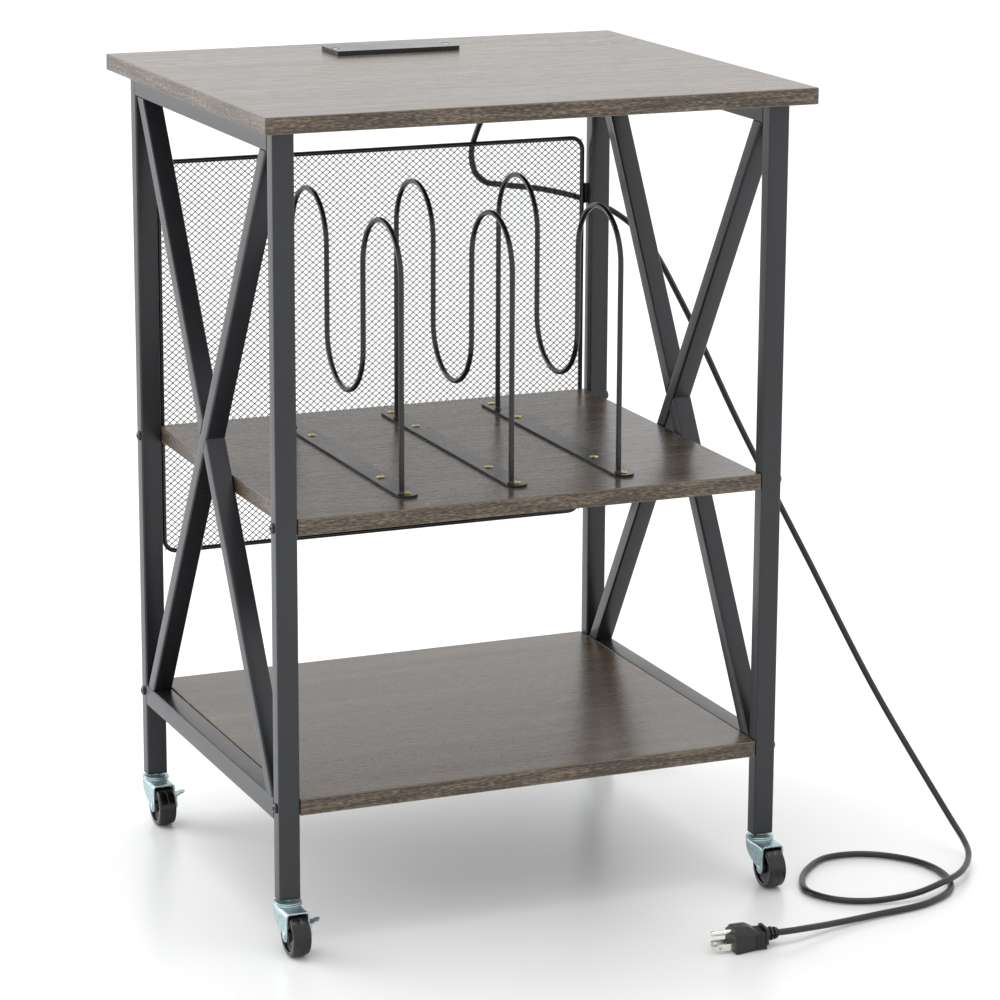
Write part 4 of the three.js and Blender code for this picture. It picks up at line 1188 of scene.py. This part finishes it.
def add_casters():
    for place in CORNERS:
        swivel = centre_of(f"{place}_caster_stem")
        post = shift(swivel.x, swivel.y)
        axle = shift(swivel.x, swivel.y + AXLE_AHEAD, WHEEL_RADIUS)
        on_fork = f"{place}_swivel"
        piece(f"{place}_stem", moved(stem_shape(), post), "zinc", "frame", [f"{place}_caster_stem"])
        fork = together([soften(fork_plate_shape(), 0.00045, 2, over=60), race_shape()])
        piece(f"{place}_fork", moved(fork, post), "zinc", on_fork, [f"{place}_caster_fork"])
        low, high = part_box(f"{place}_caster_axle")
        rivet = rivet_shape(low.x - swivel.x + 0.0012, high.x - swivel.x - 0.0012)
        piece(f"{place}_rivet", moved(rivet, spin("Y", 90), axle), "zinc", on_fork, [f"{place}_caster_axle"])
        wheel = moved(wheel_shape(), spin("Y", 90), axle)
        piece(f"{place}_tyre", wheel, "wheel_plastic", f"{place}_wheel", [f"{place}_caster_wheel"], crease=40)
        if place in BRAKED:
            lever = moved(lever_shape(), shift(FORK_OUTER + 0.0003), axle)
            piece(f"{place}_lever", lever, "zinc", f"{place}_brake", [f"{place}_brake_lever"])


# ---------------------------------------------------------------- stage and light
SURROUND = 1.2                    # brightness of the white surround
FLOOR_RADIUS = 14
FLOOR_DROP = 0.0002               # below the wheels
FLOOR_PLAIN = 1.1                 # metres round the stand where the floor is a plain matt white
FLOOR_BLANK = 2.6                 # beyond this it is as white as the surround


def add_floor():
    """Pale floor that turns into the white surround away from the stand."""
    shape = bmesh.new()
    bmesh.ops.create_circle(shape, cap_ends=True, segments=96, radius=FLOOR_RADIUS)
    mesh = mesh_of("floor", shape)
    recipe = Recipe("floor", (0.78, 0.78, 0.78), 0.28)
    reach = recipe.tree.nodes.new("ShaderNodeVectorMath")
    reach.operation = "LENGTH"
    recipe.tree.links.new(recipe.place.outputs["Object"], reach.inputs[0])
    blank = recipe.between(reach.outputs["Value"], FLOOR_PLAIN, FLOOR_BLANK)
    glow = recipe.tree.nodes.new("ShaderNodeEmission")
    glow.inputs["Strength"].default_value = SURROUND
    blend = recipe.tree.nodes.new("ShaderNodeMixShader")
    for output, socket in zip((blank, recipe.shader.outputs[0], glow.outputs[0]), blend.inputs):
        recipe.plug(output, socket)
    recipe.plug(blend.outputs[0], recipe.tree.nodes["Material Output"].inputs["Surface"])
    mesh.materials.append(recipe.material)
    floor = placed("floor", mesh)
    floor.location.z = -FLOOR_DROP


def add_softbox(name, place, towards, size, power, colour):
    data = bpy.data.lights.new(name, "AREA")
    data.shape = "RECTANGLE"
    data.size, data.size_y = size
    data.energy = power
    data.color = colour
    lamp = placed(name, data)
    lamp.location = place
    lamp.rotation_mode = "QUATERNION"
    lamp.rotation_quaternion = (Vector(towards) - Vector(place)).to_track_quat("-Z", "Y")


def add_lights():
    """White surround, a softbox overhead and a cool one behind on the left."""
    world = bpy.data.worlds.new("studio")
    world.use_nodes = True
    background = world.node_tree.nodes["Background"]
    background.inputs["Color"].default_value = (1, 1, 1, 1)
    background.inputs["Strength"].default_value = SURROUND
    bpy.context.scene.world = world
    add_softbox("overhead", (-0.2, 0.3, 3.2), (0, 0, 0.4), (2.4, 2.4), 45, (1, 1, 1))
    add_softbox("left", (-3.0, 2.6, 1.3), (0, 0, 0.45), (2.4, 2.2), 85, (0.9, 0.95, 1))


add_camera()
add_cord_and_plug()
finish_kept_nodes()
add_side_frames()
add_shelf_bolts()
add_brass_screws()
add_rail_screws()
add_mesh_frame()
add_mesh_sheet()
add_dividers()
add_power_plate()
add_power_housing()
add_cord_relief()
add_casters()
add_floor()
add_lights()
bpy.context.scene.view_settings.view_transform = "Standard"
